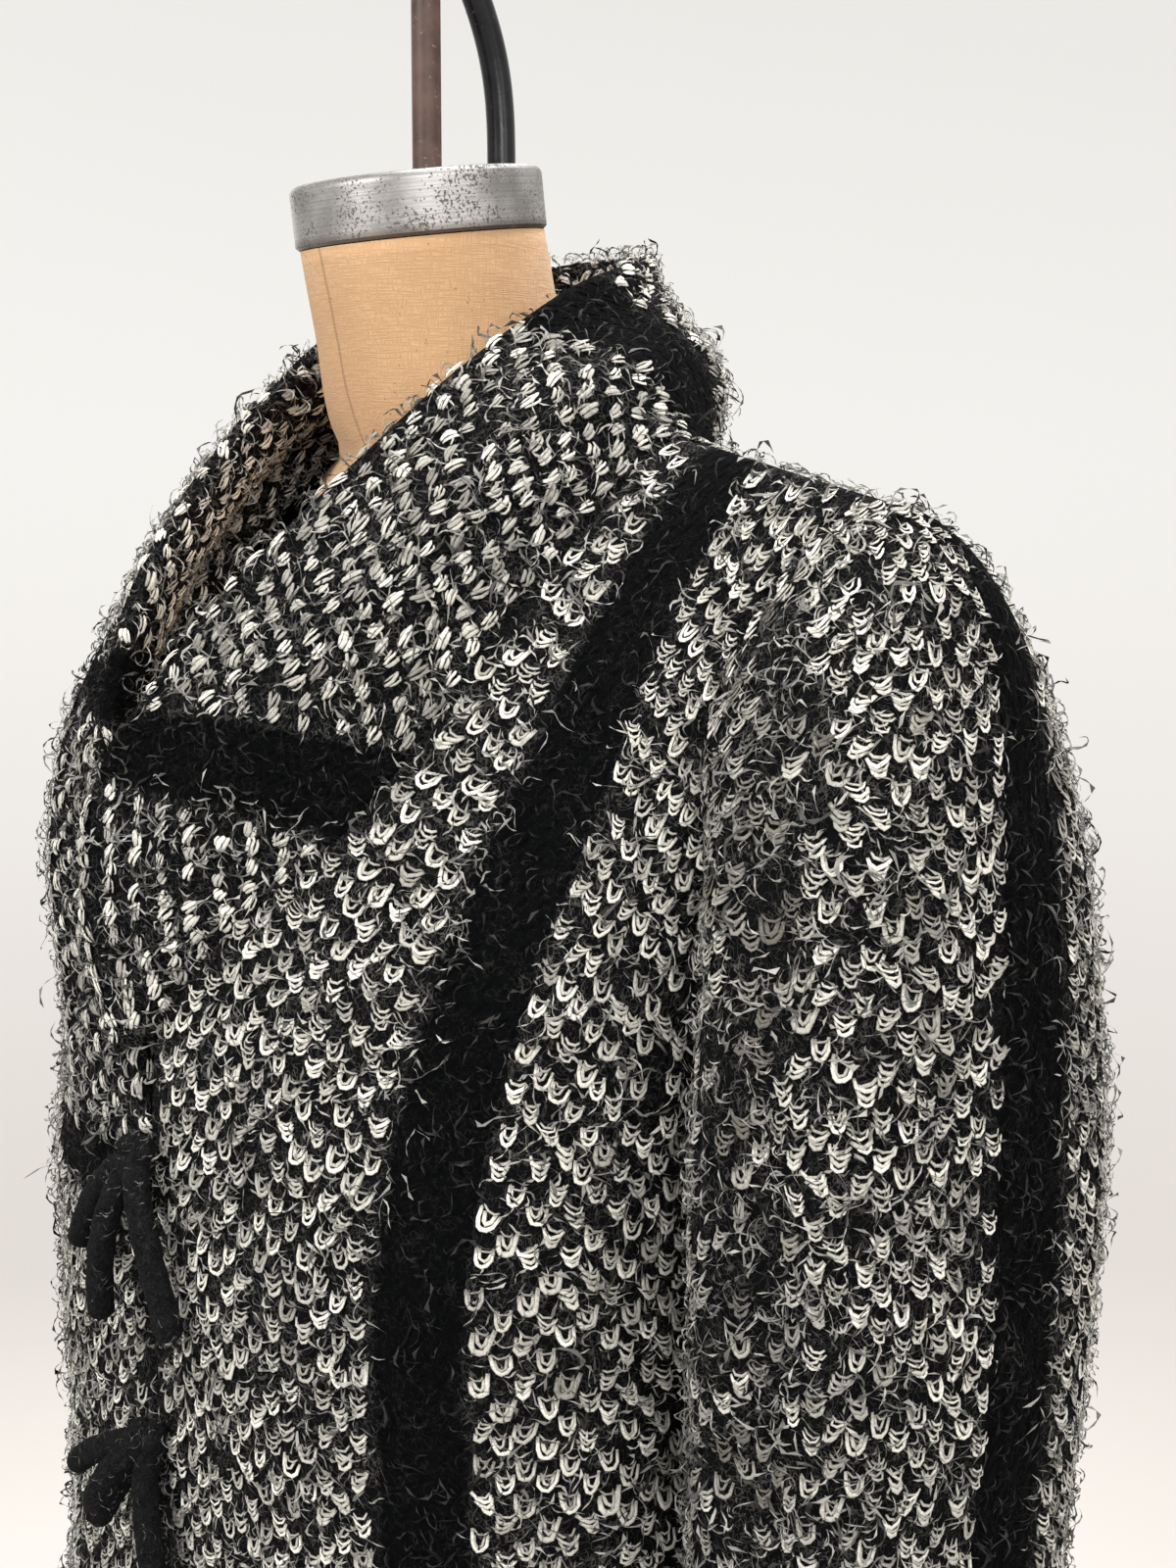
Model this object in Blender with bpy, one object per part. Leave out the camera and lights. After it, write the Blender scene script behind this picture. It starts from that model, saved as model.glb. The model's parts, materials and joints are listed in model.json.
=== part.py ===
import math

import bmesh
import bpy
import numpy as np
from mathutils import Matrix, Vector

for old in list(bpy.data.objects):
    bpy.data.objects.remove(old, do_unlink=True)


def table(columns, rows):
    """A table of sizes as one array per named column."""
    return dict(zip(columns, np.array(rows, float).T))


# Axes: +Z up, -Y the front of the coat, +X the wearer's left. Lengths in metres.
# A share runs across a panel from the centre line (0) to the side (1).
# A rise runs up it from the hem (0) to the shoulder (1).
SEAM_GAP = 0.0002
ARMHOLE_GAP = 0.0005
COAT_WALL = 0.005
COLLAR_WALL = 0.010
COLLAR_EDGE_PART = 0.55

HEM_Z = 0.45
BUST_Z = 1.06
BLADE_Z = 1.13
BUST_RISE = 0.62
BLADE_RISE = 0.66
SECTION_POWER = 2.6

# Level sections of the body below the bust: half width, depth to the front and to the back.
BODY = table(("z", "half_width", "front", "back"), (
    (0.45, 0.258, 0.172, 0.160),
    (0.60, 0.246, 0.166, 0.155),
    (0.74, 0.230, 0.160, 0.150),
    (0.84, 0.217, 0.157, 0.146),
    (0.95, 0.214, 0.157, 0.142),
    (1.06, 0.214, 0.160, 0.140),
    (1.13, 0.215, 0.160, 0.142),
))

# Soft upright folds: share where each lies, half width in shares, depth at the hem, height of its top.
FRONT_FOLDS = table(("share", "spread", "depth", "top_z"), (
    (0.30, 0.10, 0.007, 0.98),
    (0.52, 0.09, -0.006, 0.86),
    (0.76, 0.11, 0.009, 1.02),
))
BACK_FOLDS = table(("share", "spread", "depth", "top_z"), (
    (0.14, 0.10, 0.008, 1.10),
    (0.42, 0.11, -0.009, 0.98),
    (0.68, 0.10, 0.010, 1.08),
))

# Shoulder ridge, where the fronts and the back are sewn together.
RIDGE_END_X = 0.268
RIDGE_TOP_Z = 1.4560
RIDGE_SLOPE = 0.215
RIDGE_Y = 0.040
RIDGE_SPREAD = 0.85

# Curve from bust or blade to the ridge: how far it first goes straight up, how far it ends level.
FRONT_LIFT, FRONT_REACH = 0.13, 0.024
CHEST_SHARE = 0.6
CHEST_LIFT, CHEST_REACH = 0.13, 0.08
BACK_LIFT, BACK_REACH = 0.17, 0.115
BACK_SIDE_LIFT, BACK_SIDE_REACH = 0.13, 0.030

# Armhole: armpit as a part of the way from bust or blade to shoulder, and the scoop above it.
FRONT_ARMPIT = 0.33
BACK_ARMPIT = 0.20
ARM_SCOOP = 0.20
ARM_SCOOP_HEIGHT = 0.75
ARM_SCOOP_EASE = 1.3

# Back neck: half width as a share, and how far it is cut down at the centre as a rise.
NECK_SHARE = 0.46
BACK_NECK_DROP = 0.1333
NECK_DROP_FROM = 0.55

# Collar seam of each front: part of the way from bust to shoulder, and share across the panel.
LEFT_NECKLINE = table(("up", "share"), (
    (0.13, 0.006),
    (0.22, 0.120),
    (0.32, 0.260),
    (0.44, 0.355),
    (0.60, 0.410),
    (0.80, 0.455),
    (1.00, 0.460),
))
RIGHT_NECKLINE = table(("up", "share"), (
    (0.02, 0.370),
    (0.14, 0.380),
    (0.28, 0.380),
    (0.44, 0.380),
    (0.60, 0.410),
    (0.80, 0.455),
    (1.00, 0.460),
))
FRONT_EDGE_SHARE = 0.006
SEAM_START_STEP = 0.003

# Free edge of each collar half beside its seam, from the lower end (0) to the centre of the back (1).
LEFT_COLLAR = table(("along", "x", "y", "z", "bulge"), (
    (0.00, -0.005, -0.168, 1.152, 0.000),
    (0.14, -0.020, -0.178, 1.222, 0.004),
    (0.27, -0.006, -0.172, 1.283, 0.008),
    (0.36, 0.014, -0.159, 1.315, 0.010),
    (0.46, 0.040, -0.132, 1.361, 0.012),
    (0.56, 0.068, -0.088, 1.412, 0.013),
    (0.66, 0.086, -0.038, 1.458, 0.014),
    (0.76, 0.091, 0.020, 1.493, 0.019),
    (0.87, 0.070, 0.082, 1.510, 0.026),
    (1.00, 0.000, 0.114, 1.517, 0.026),
))
RIGHT_COLLAR = table(("along", "x", "y", "z", "bulge"), (
    (0.00, -0.003, -0.160, 1.078, 0.004),
    (0.14, -0.012, -0.163, 1.150, 0.016),
    (0.27, -0.032, -0.165, 1.220, 0.028),
    (0.38, -0.042, -0.160, 1.282, 0.030),
    (0.50, -0.056, -0.136, 1.350, 0.022),
    (0.60, -0.072, -0.092, 1.405, 0.020),
    (0.69, -0.086, -0.040, 1.452, 0.018),
    (0.78, -0.091, 0.018, 1.491, 0.019),
    (0.88, -0.070, 0.082, 1.510, 0.026),
    (1.00, 0.000, 0.114, 1.517, 0.026),
))
COLLAR_SPINE = (0.0, 0.02)
COLLAR_END_LIFT = 0.003
COLLAR_SWELL_POWER = 2.0
COLLAR_THICKENS_BY = 0.35

# Sleeve below the armhole: centre and half axes of each level section, cuff first.
SLEEVE = table(("z", "x", "y", "half_x", "half_y"), (
    (0.840, 0.2730, 0.034, 0.0515, 0.089),
    (0.900, 0.2740, 0.036, 0.0525, 0.092),
    (0.970, 0.2755, 0.039, 0.0540, 0.096),
    (1.050, 0.2775, 0.043, 0.0560, 0.100),
    (1.130, 0.2780, 0.044, 0.0570, 0.103),
))
SLEEVE_POWER = 2.3
# How the sleeve head leaves the armhole at the armpit, and what is added to that at its top.
HEAD_OUT, HEAD_OUT_TOP = 0.026, 0.048
HEAD_DOWN, HEAD_DOWN_TOP = 0.002, 0.010
HEAD_SIDEWAYS = 0.030
HEAD_RISE, HEAD_RISE_TOP = 0.03, 0.14

# Dress form: level rings, with the neck leaning forward.
FORM = table(("z", "half_width", "front", "back", "centre_y", "power"), (
    (0.7900, 0.1200, 0.0800, 0.0850, 0.0000, 2.20),
    (0.7980, 0.1480, 0.1000, 0.1080, 0.0000, 2.20),
    (0.8500, 0.1620, 0.1100, 0.1200, 0.0000, 2.20),
    (0.9500, 0.1480, 0.1000, 0.1080, 0.0000, 2.20),
    (1.0300, 0.1180, 0.0860, 0.0800, 0.0000, 2.20),
    (1.1000, 0.1280, 0.1040, 0.0800, 0.0000, 2.20),
    (1.1750, 0.1460, 0.1230, 0.0880, 0.0000, 2.20),
    (1.2400, 0.1460, 0.1160, 0.0960, 0.0020, 2.10),
    (1.3000, 0.1460, 0.1080, 0.0960, 0.0060, 1.90),
    (1.3450, 0.1480, 0.1040, 0.0820, 0.0140, 1.60),
    (1.3800, 0.1520, 0.1000, 0.0600, 0.0300, 1.30),
    (1.4035, 0.1540, 0.0870, 0.0480, 0.0370, 1.15),
    (1.4125, 0.1520, 0.0790, 0.0440, 0.0390, 1.15),
    (1.4195, 0.1400, 0.0730, 0.0420, 0.0380, 1.15),
    (1.4285, 0.1040, 0.0710, 0.0440, 0.0320, 1.40),
    (1.4390, 0.0780, 0.0650, 0.0500, 0.0220, 1.80),
    (1.4520, 0.0660, 0.0610, 0.0560, 0.0140, 2.00),
    (1.4800, 0.0600, 0.0595, 0.0580, 0.0065, 2.00),
    (1.5220, 0.0580, 0.0580, 0.0580, -0.0030, 2.00),
))
FORM_SIDES = 36

# Ties: a knot's centre in Y and Z, then each cord end as a point it heads for and its tip, from the knot.
CORD_RADIUS = 0.0066
CORD_TIP_PART = 0.45
CORD_SIDES = 10
KNOT_HALF_AXES = (0.0135, 0.0115, 0.0130)
UPPER_KNOT = (-0.1722, 1.105)
UPPER_TIE_ENDS = (
    ((-0.020, -0.010, -0.010), (-0.036, -0.012, -0.036)),
    ((-0.006, -0.020, -0.020), (-0.021, -0.010, -0.068)),
    ((0.014, -0.012, -0.016), (0.027, -0.003, -0.071)),
)
LOWER_KNOT = (-0.1692, 0.970)
LOWER_TIE_ENDS = (
    ((-0.024, -0.012, -0.004), (-0.046, -0.013, -0.022)),
    ((-0.018, -0.006, -0.022), (-0.036, -0.008, -0.047)),
    ((-0.004, -0.026, -0.008), (-0.014, -0.020, -0.034)),
    ((0.008, -0.010, -0.020), (0.013, -0.005, -0.064)),
)

# Neck cap, leaning forward with the neck.
CAP_CENTRE = (0.0, -0.0035, 1.5225)
CAP_TILT = math.radians(7.0)
CAP_RADIUS = 0.0600
CAP_HEIGHT = 0.029
CAP_TOP_ROUND = 0.004
CAP_FOOT_ROUND = 0.0015

# Upright rod and curved bar above the cap, pole and base below the form.
ROD_RADIUS = 0.0070
ROD_FOOT_Z = 1.5533
ROD_TOP_Z = 1.690
CURVED_BAR = (
    (0, 0.044, 1.5587),
    (0, 0.044, 1.590),
    (0, 0.044, 1.618),
    (0, 0.028, 1.640),
    (0, 0.0130, 1.669),
)
POLE_RADIUS = 0.0125
BASE_HEIGHT = 0.085
BASE = table(("radius", "z"), (
    (0.000, 0.000),
    (0.203, 0.000),
    (0.205, 0.002),
    (0.205, 0.009),
    (0.201, 0.012),
    (0.123, 0.022),
    (0.064, 0.032),
    (0.037, 0.048),
    (0.027, 0.062),
    (0.026, 0.082),
    (0.023, BASE_HEIGHT),
    (0.000, BASE_HEIGHT),
))

# Counts of rows and columns of points in each grid.
FRONT_COLUMNS = 9
ROWS_BELOW_COLLAR = 11
ROWS_TO_ARMPIT = 4
ARMHOLE_ROWS = 13
BACK_ROWS_TO_ARMPIT = 15
NECK_COLUMNS = 6
SHOULDER_COLUMNS = 5
COLLAR_ROWS = 9
HEAD_ROWS = 9
SLEEVE_ROWS = 8
COLLAR_ROW = ROWS_BELOW_COLLAR + 1
FRONT_ARM_ROW = COLLAR_ROW + ROWS_TO_ARMPIT
BACK_ARM_ROW = BACK_ROWS_TO_ARMPIT


def spline(xs, ys, place):
    """A smooth curve through the points of two columns, read at one place or many."""
    slopes = np.gradient(ys, xs)
    place = np.clip(place, xs[0], xs[-1])
    i = np.clip(np.searchsorted(xs, place) - 1, 0, len(xs) - 2)
    step = xs[i + 1] - xs[i]
    t = (place - xs[i]) / step
    start = (1 + 2 * t) * (1 - t) ** 2 * ys[i] + t * (1 - t) ** 2 * step * slopes[i]
    end = t * t * (3 - 2 * t) * ys[i + 1] + t * t * (t - 1) * step * slopes[i + 1]
    return start + end


def smooth(t):
    """0 to 1 with a soft start and end."""
    t = np.clip(t, 0.0, 1.0)
    return t * t * (3 - 2 * t)


def bezier(controls, t):
    """The point at t of the curve that the control points steer."""
    level = [np.array(point, float) for point in controls]
    while len(level) > 1:
        level = [(1 - t) * a + t * b for a, b in zip(level, level[1:])]
    return level[0]


def unit(vectors):
    return vectors / np.linalg.norm(vectors, axis=-1, keepdims=True)


def superellipse(angle, half_x, half_y, power):
    c, s = np.cos(angle), np.sin(angle)
    x = half_x * np.sign(c) * np.abs(c) ** (2 / power)
    y = half_y * np.sign(s) * np.abs(s) ** (2 / power)
    return x, y


def quarter_section(z, side, share):
    """The point of a level section at a share of the way round from the centre line to the side."""
    half_width = spline(BODY["z"], BODY["half_width"], z)
    depth = spline(BODY["z"], BODY["front" if side < 0 else "back"], z)
    angle = np.linspace(0, math.pi / 2, 121)
    y, x = superellipse(angle, side * depth, half_width, SECTION_POWER)
    run = np.concatenate([[0], np.cumsum(np.hypot(np.diff(x), np.diff(y)))])
    run /= run[-1]
    return np.interp(share, run, x), np.interp(share, run, y)


def fold_push(folds, share, z):
    """How far the folds push the cloth out at one point."""
    strength = smooth((folds["top_z"] - z) / (folds["top_z"] - HEM_Z))
    across = (share - folds["share"]) / folds["spread"]
    return float(np.sum(folds["depth"] * strength * np.exp(-across * across)))


def shoulder_handles(side, share):
    """How far the curve up to the ridge first rises straight, and how far it ends level."""
    if side < 0:
        inner = max(0.0, 1 - share / CHEST_SHARE)
        return FRONT_LIFT + CHEST_LIFT * inner, FRONT_REACH + CHEST_REACH * inner
    lift = BACK_LIFT + (BACK_SIDE_LIFT - BACK_LIFT) * share
    reach = BACK_REACH + (BACK_SIDE_REACH - BACK_REACH) * share
    return lift, reach


def body_point(side, share, rise):
    """Outer surface of the body: side -1 is the front and +1 the back."""
    split = BUST_RISE if side < 0 else BLADE_RISE
    turn_z = BUST_Z if side < 0 else BLADE_Z
    if rise <= split:
        z = HEM_Z + (turn_z - HEM_Z) * rise / split
        x, y = quarter_section(z, side, share)
        push = fold_push(FRONT_FOLDS if side < 0 else BACK_FOLDS, share, z) / math.hypot(x, y)
        return np.array([x * (1 + push), y * (1 + push), z])
    foot = np.array([*quarter_section(turn_z, side, share), turn_z])
    top_x = RIDGE_END_X * share**RIDGE_SPREAD
    top = np.array([top_x, RIDGE_Y, RIDGE_TOP_Z - RIDGE_SLOPE * top_x])
    lift, reach = shoulder_handles(side, share)
    controls = (foot, foot + np.array([0, 0, lift]), top + np.array([0, side * reach, 0]), top)
    return bezier(controls, (rise - split) / (1 - split))


def armhole_share(side, rise):
    """Share where the panel's side edge lies: 1 along the side seam, less beside the arm."""
    split = BUST_RISE if side < 0 else BLADE_RISE
    start = split + (FRONT_ARMPIT if side < 0 else BACK_ARMPIT) * (1 - split)
    if rise <= start:
        return 1.0
    up = (rise - start) / (1 - start)
    return 1.0 - ARM_SCOOP * math.sin(math.pi * up**ARM_SCOOP_HEIGHT) ** ARM_SCOOP_EASE


def grid_normals(points, closed):
    """Unit normals of a grid of points, rows by columns."""
    along = np.gradient(points, axis=0)
    if closed:
        across = np.roll(points, -1, axis=1) - np.roll(points, 1, axis=1)
    else:
        across = np.gradient(points, axis=1)
    return unit(np.cross(across, along))


def material(name, colour, roughness, metallic=0.0):
    made = bpy.data.materials.new(name)
    made.use_nodes = True
    shader = made.node_tree.nodes["Principled BSDF"]
    shader.inputs["Base Color"].default_value = (*colour, 1.0)
    shader.inputs["Roughness"].default_value = roughness
    shader.inputs["Metallic"].default_value = metallic
    return made


def add_object(name, work, look):
    bmesh.ops.recalc_face_normals(work, faces=work.faces)
    mesh = bpy.data.meshes.new(name)
    work.to_mesh(mesh)
    work.free()
    mesh.shade_smooth()
    mesh.set_sharp_from_angle(angle=math.radians(40))
    mesh.materials.append(look)
    made = bpy.data.objects.new(name, mesh)
    bpy.context.scene.collection.objects.link(made)
    return made


def edge_face(work, a, b, c, d):
    """Two triangles of a wall's edge, a and b outside, d and c inside, split alike on both sides of a seam."""
    if a.co.z > b.co.z:
        corners = ((a, b, c), (a, c, d))
    else:
        corners = ((a, b, d), (b, c, d))
    for corner in corners:
        work.faces.new(corner)


def wall(name, outer, inner, closed, look):
    """A closed wall between two grids of points: a tube if closed, else a panel."""
    rows, columns = outer.shape[:2]
    work = bmesh.new()
    out = [[work.verts.new(point) for point in row] for row in outer]
    ins = [[work.verts.new(point) for point in row] for row in inner]
    for j in range(columns if closed else columns - 1):
        k = (j + 1) % columns
        for i in range(rows - 1):
            work.faces.new((out[i][j], out[i][k], out[i + 1][k], out[i + 1][j]))
            work.faces.new((ins[i][j], ins[i + 1][j], ins[i + 1][k], ins[i][k]))
        edge_face(work, out[0][k], out[0][j], ins[0][j], ins[0][k])
        edge_face(work, out[-1][j], out[-1][k], ins[-1][k], ins[-1][j])
    if not closed:
        for i in range(rows - 1):
            edge_face(work, out[i][0], out[i + 1][0], ins[i + 1][0], ins[i][0])
            edge_face(work, out[i + 1][-1], out[i][-1], ins[i][-1], ins[i + 1][-1])
    return add_object(name, work, look)


def drawn_in(points):
    """The same grid with its last row and both side columns drawn in by the seam gap."""
    grid = points.copy()
    grid[-1] += SEAM_GAP * unit(grid[-2] - grid[-1])
    grid[:, 0] += SEAM_GAP * unit(grid[:, 1] - grid[:, 0])
    grid[:, -1] += SEAM_GAP * unit(grid[:, -2] - grid[:, -1])
    return grid


def turned_sideways(normals):
    """Both panels of a side or shoulder seam turn their thickness the same way, with none to front or back."""
    normals[:, 1] = 0
    return unit(normals)


def panel_walls(name, grid, side_columns, last_side_row, ridge, look):
    """A front or back panel. It also returns its outer and inner grids as cut, for what is sewn to it."""
    normals = grid_normals(grid, False)
    normals[-1, ridge] = turned_sideways(normals[-1, ridge])
    for column in side_columns:
        normals[: last_side_row + 1, column] = turned_sideways(normals[: last_side_row + 1, column])
    inner = grid - COAT_WALL * normals
    wall(name, drawn_in(grid), drawn_in(inner), False, look)
    return grid, inner


def front_rises(neckline):
    """Levels of a front's rows, with one just below the start of the collar's seam and one at the armpit."""
    seam = BUST_RISE + neckline["up"][0] * (1 - BUST_RISE)
    armpit = BUST_RISE + FRONT_ARMPIT * (1 - BUST_RISE)
    below = np.linspace(0, seam, ROWS_BELOW_COLLAR, endpoint=False)
    middle = np.linspace(seam, armpit, ROWS_TO_ARMPIT, endpoint=False)
    above = np.linspace(armpit, 1, ARMHOLE_ROWS)
    return np.concatenate([below, [seam - SEAM_START_STEP], middle, above])


def front_grid(neckline):
    rows = []
    for i, rise in enumerate(front_rises(neckline)):
        start = FRONT_EDGE_SHARE
        if i >= COLLAR_ROW:
            up = (rise - BUST_RISE) / (1 - BUST_RISE)
            start = float(spline(neckline["up"], neckline["share"], up))
        shares = np.linspace(start, armhole_share(-1, rise), FRONT_COLUMNS)
        rows.append([body_point(-1, share, rise) for share in shares])
    return np.array(rows)


def mirrored(grid):
    """The grid on the wearer's right, with its columns turned so that its faces stay outward."""
    return (grid * np.array([-1, 1, 1]))[:, ::-1]


def back_shares():
    neck = np.linspace(0, NECK_SHARE, NECK_COLUMNS + 1)
    shoulder = np.linspace(NECK_SHARE, 1, SHOULDER_COLUMNS + 1)
    half = np.concatenate([neck, shoulder[1:]])
    return np.concatenate([-half[:0:-1], half])


def back_top(share):
    """Rise of the back's upper edge: 1 along the shoulder, lower where the neck is cut."""
    part = min(1.0, abs(share) / NECK_SHARE)
    return 1.0 - BACK_NECK_DROP * math.sqrt(1 - part * part)


def back_grid(front_side):
    """The back panel's points. Its side edges follow the fronts' up to a shared armpit point."""
    armpit = BLADE_RISE + BACK_ARMPIT * (1 - BLADE_RISE)
    below = np.linspace(0, armpit, BACK_ROWS_TO_ARMPIT, endpoint=False)
    rows = []
    for level in np.concatenate([below, np.linspace(armpit, 1, ARMHOLE_ROWS)]):
        blend = smooth((level - NECK_DROP_FROM) / (1 - NECK_DROP_FROM))
        row = []
        for share in back_shares():
            rise = level * (1 - blend) + level * back_top(share) * blend
            place = share * armhole_share(1, level)
            x, y, z = body_point(1, abs(place), rise)
            row.append((math.copysign(x, -place) if place else 0.0, y, z))
        rows.append(row)
    grid = np.array(rows)
    edge = front_side[: FRONT_ARM_ROW + 1]
    heights = np.minimum(grid[: BACK_ARM_ROW + 1, 0, 2], edge[-1, 2])
    heights[-1] = edge[-1, 2]
    x, y = (np.interp(heights, edge[:, 2], edge[:, k]) for k in (0, 1))
    grid[: BACK_ARM_ROW + 1, 0] = np.stack([x, y, heights], axis=1)
    grid[: BACK_ARM_ROW + 1, -1] = np.stack([-x, y, heights], axis=1)
    return grid


def armhole_ring(front, back):
    """Points down the front's armhole edge from the shoulder, then up the back's."""
    return np.concatenate([front[FRONT_ARM_ROW:, -1][::-1], back[BACK_ARM_ROW:, 0][1:-1]])


def sleeve(name, outer_ring, inner_ring, right, look):
    """A sleeve from the wearer's left armhole down to the cuff, turned over for the right."""
    count = len(outer_ring)
    turn = np.linspace(0, 2 * math.pi, count, endpoint=False)
    sections = []
    for z in np.linspace(SLEEVE["z"][-1], SLEEVE["z"][0], SLEEVE_ROWS):
        x, y, half_x, half_y = (spline(SLEEVE["z"], SLEEVE[c], z) for c in ("x", "y", "half_x", "half_y"))
        dx, dy = superellipse(-turn, half_x, half_y, SLEEVE_POWER)
        sections.append(np.stack([x + dx, y + dy, np.full(count, z)], axis=1))
    topness = (1 + np.cos(turn)) / 2
    zero = np.zeros(count)
    out = HEAD_OUT + HEAD_OUT_TOP * topness
    down = HEAD_DOWN + HEAD_DOWN_TOP * topness
    leave = np.stack([out, -HEAD_SIDEWAYS * np.sin(turn), -down], axis=1)
    arrive = np.stack([zero, zero, HEAD_RISE + HEAD_RISE_TOP * topness], axis=1)
    tangent = np.roll(outer_ring, -1, axis=0) - np.roll(outer_ring, 1, axis=0)
    clear = unit(np.cross(tangent, outer_ring - inner_ring))
    gap = ARMHOLE_GAP * clear * np.sign(clear[:, 0].sum())
    start, end = outer_ring + gap, sections[0]
    head = [bezier((start, start + leave, end + arrive, end), t) for t in np.linspace(0, 1, HEAD_ROWS)]
    outer = np.array(head + sections[1:])
    inner = outer - COAT_WALL * grid_normals(outer, True)
    inner[0] = inner_ring + gap
    if right:
        outer, inner = mirrored(outer), mirrored(inner)
    wall(name, outer, inner, True, look)


def half_neckline(front, back, front_column, neck):
    """Seam points from the collar's lower end up the front and round to the centre of the back."""
    return np.concatenate([front[COLLAR_ROW:, front_column], back[-1, neck][1:]])


def collar_half(seam_outer, seam_inner, edge_table):
    """Sections of one half of the collar, each from its seam to its free edge."""
    steps = np.linalg.norm(np.diff(seam_outer, axis=0), axis=1)
    alongs = np.concatenate([[0], np.cumsum(steps)]) / steps.sum()
    edge = np.stack([spline(edge_table["along"], edge_table[c], alongs) for c in "xyz"], axis=1)
    bulge = spline(edge_table["along"], edge_table["bulge"], alongs)[:, None]
    base_out, base_in = seam_outer.copy(), seam_inner.copy()
    for base, seam in ((base_out, seam_outer), (base_in, seam_inner)):
        base[0] += COLLAR_END_LIFT / steps[0] * (seam[1] - seam[0])
    run = unit(np.gradient(base_out, axis=0))
    depth = unit(base_out - base_in)
    toward = edge - base_out
    across = np.cross(run, depth)
    across *= np.sign(np.sum(across * toward, axis=1, keepdims=True))
    away = unit(np.cross(run, toward))
    from_spine = base_out[:, :2] - np.array(COLLAR_SPINE)
    away *= np.sign(np.sum(away[:, :2] * from_spine, axis=1, keepdims=True))
    start = base_out + SEAM_GAP * across
    places = np.linspace(0, 1, COLLAR_ROWS)
    swells = np.sin(math.pi * places) ** COLLAR_SWELL_POWER
    outer = np.array([start + t * (edge - start) + swell * bulge * away for t, swell in zip(places, swells)])
    normals = grid_normals(outer, False)
    if np.sum(normals * depth) < 0:
        normals = -normals
    thick = COAT_WALL + (COLLAR_WALL - COAT_WALL) * smooth(places / COLLAR_THICKENS_BY)
    thick[-1] *= COLLAR_EDGE_PART
    inner = outer - thick[:, None, None] * normals
    inner[0] = base_in + SEAM_GAP * across
    return outer, inner


def collar(name, left_seams, right_seams, look):
    """One strip with two halves that meet at the centre of the back."""
    left = collar_half(*left_seams, LEFT_COLLAR)
    right = collar_half(*right_seams, RIGHT_COLLAR)
    middle = left[0].shape[1] - 1
    grids = []
    for left_grid, right_grid in zip(left, right):
        grid = np.concatenate([left_grid, right_grid[:, ::-1][:, 1:]], axis=1)
        grid[:, middle, 0] = 0
        grids.append(grid)
    wall(name, *grids, False, look)


def lofted(name, rings, look):
    """A closed solid through rings of points, or single points, capped flat at an end that is a ring."""
    work = bmesh.new()
    verts = [[work.verts.new(point) for point in ring] for ring in rings]
    count = max(len(ring) for ring in verts)
    for low, high in zip(verts, verts[1:]):
        for j in range(count):
            k = (j + 1) % count
            if len(low) == 1:
                work.faces.new((low[0], high[k], high[j]))
            elif len(high) == 1:
                work.faces.new((low[j], low[k], high[0]))
            else:
                work.faces.new((low[j], low[k], high[k], high[j]))
    if len(verts[0]) > 1:
        work.faces.new(verts[0][::-1])
    if len(verts[-1]) > 1:
        work.faces.new(verts[-1])
    return add_object(name, work, look)


def form_torso(name, look):
    angle = np.linspace(0, 2 * math.pi, FORM_SIDES, endpoint=False)
    rings = []
    for z, half_width, front, back, centre_y, power in zip(*FORM.values()):
        x, y = superellipse(angle, half_width, 1.0, power)
        y = np.where(y < 0, y * front, y * back) + centre_y
        rings.append(np.stack([x, y, np.full(FORM_SIDES, z)], axis=1))
    top = rings[-1]
    top[:, 2] += math.tan(CAP_TILT) * (top[:, 1] - CAP_CENTRE[1])
    return lofted(name, rings, look)


def turned(name, profile, look, sides=48, place=Matrix.Identity(4)):
    """A solid of revolution from pairs of radius and height, bottom to top, the ends on the axis."""
    rings = []
    for radius, height in profile:
        angles = np.linspace(0, 2 * math.pi, sides, endpoint=False) if radius else [0.0]
        points = [Vector((radius * math.cos(a), radius * math.sin(a), height)) for a in angles]
        rings.append([place @ point for point in points])
    return lofted(name, rings, look)


def neck_cap(name, look):
    place = Matrix.Translation(CAP_CENTRE) @ Matrix.Rotation(CAP_TILT, 4, "X")
    shoulder = CAP_RADIUS - CAP_TOP_ROUND
    profile = [(0, 0), (CAP_RADIUS - CAP_FOOT_ROUND, 0), (CAP_RADIUS, CAP_FOOT_ROUND)]
    for a in np.linspace(0, math.pi / 2, 4):
        height = CAP_HEIGHT - CAP_TOP_ROUND * (1 - math.sin(a))
        profile.append((shoulder + CAP_TOP_ROUND * math.cos(a), height))
    profile.append((0, CAP_HEIGHT))
    return turned(name, profile, look, place=place)


def bar(name, points, radius, look):
    """A round bar along points, with flat ends."""
    curve = bpy.data.curves.new(name, "CURVE")
    curve.dimensions = "3D"
    path = curve.splines.new("POLY")
    path.points.add(len(points) - 1)
    for spot, point in zip(path.points, points):
        spot.co = (*point, 1)
    curve.bevel_depth = radius
    curve.bevel_resolution = 3
    curve.use_fill_caps = True
    curve.materials.append(look)
    made = bpy.data.objects.new(name, curve)
    bpy.context.scene.collection.objects.link(made)
    return made


def cord_end(name, start, way, tip, look, steps=7):
    """One cord end from inside the knot to its blunt tip."""
    points = [Vector(bezier((start, way, tip), t)) for t in np.linspace(0, 1, steps)]
    points.append(points[-1] + (points[-1] - points[-2]).normalized() * CORD_RADIUS / 2)
    rings = []
    side = Vector((0, 1, 0))
    for i, point in enumerate(points):
        ahead = (points[min(i + 1, steps)] - points[max(i - 1, 0)]).normalized()
        side = (side - ahead * side.dot(ahead)).normalized()
        other = ahead.cross(side)
        size = CORD_RADIUS * (CORD_TIP_PART if i == steps else 1)
        angles = np.linspace(0, 2 * math.pi, CORD_SIDES, endpoint=False)
        rings.append([point + size * (side * math.cos(a) + other * math.sin(a)) for a in angles])
    return lofted(name, rings, look)


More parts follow.
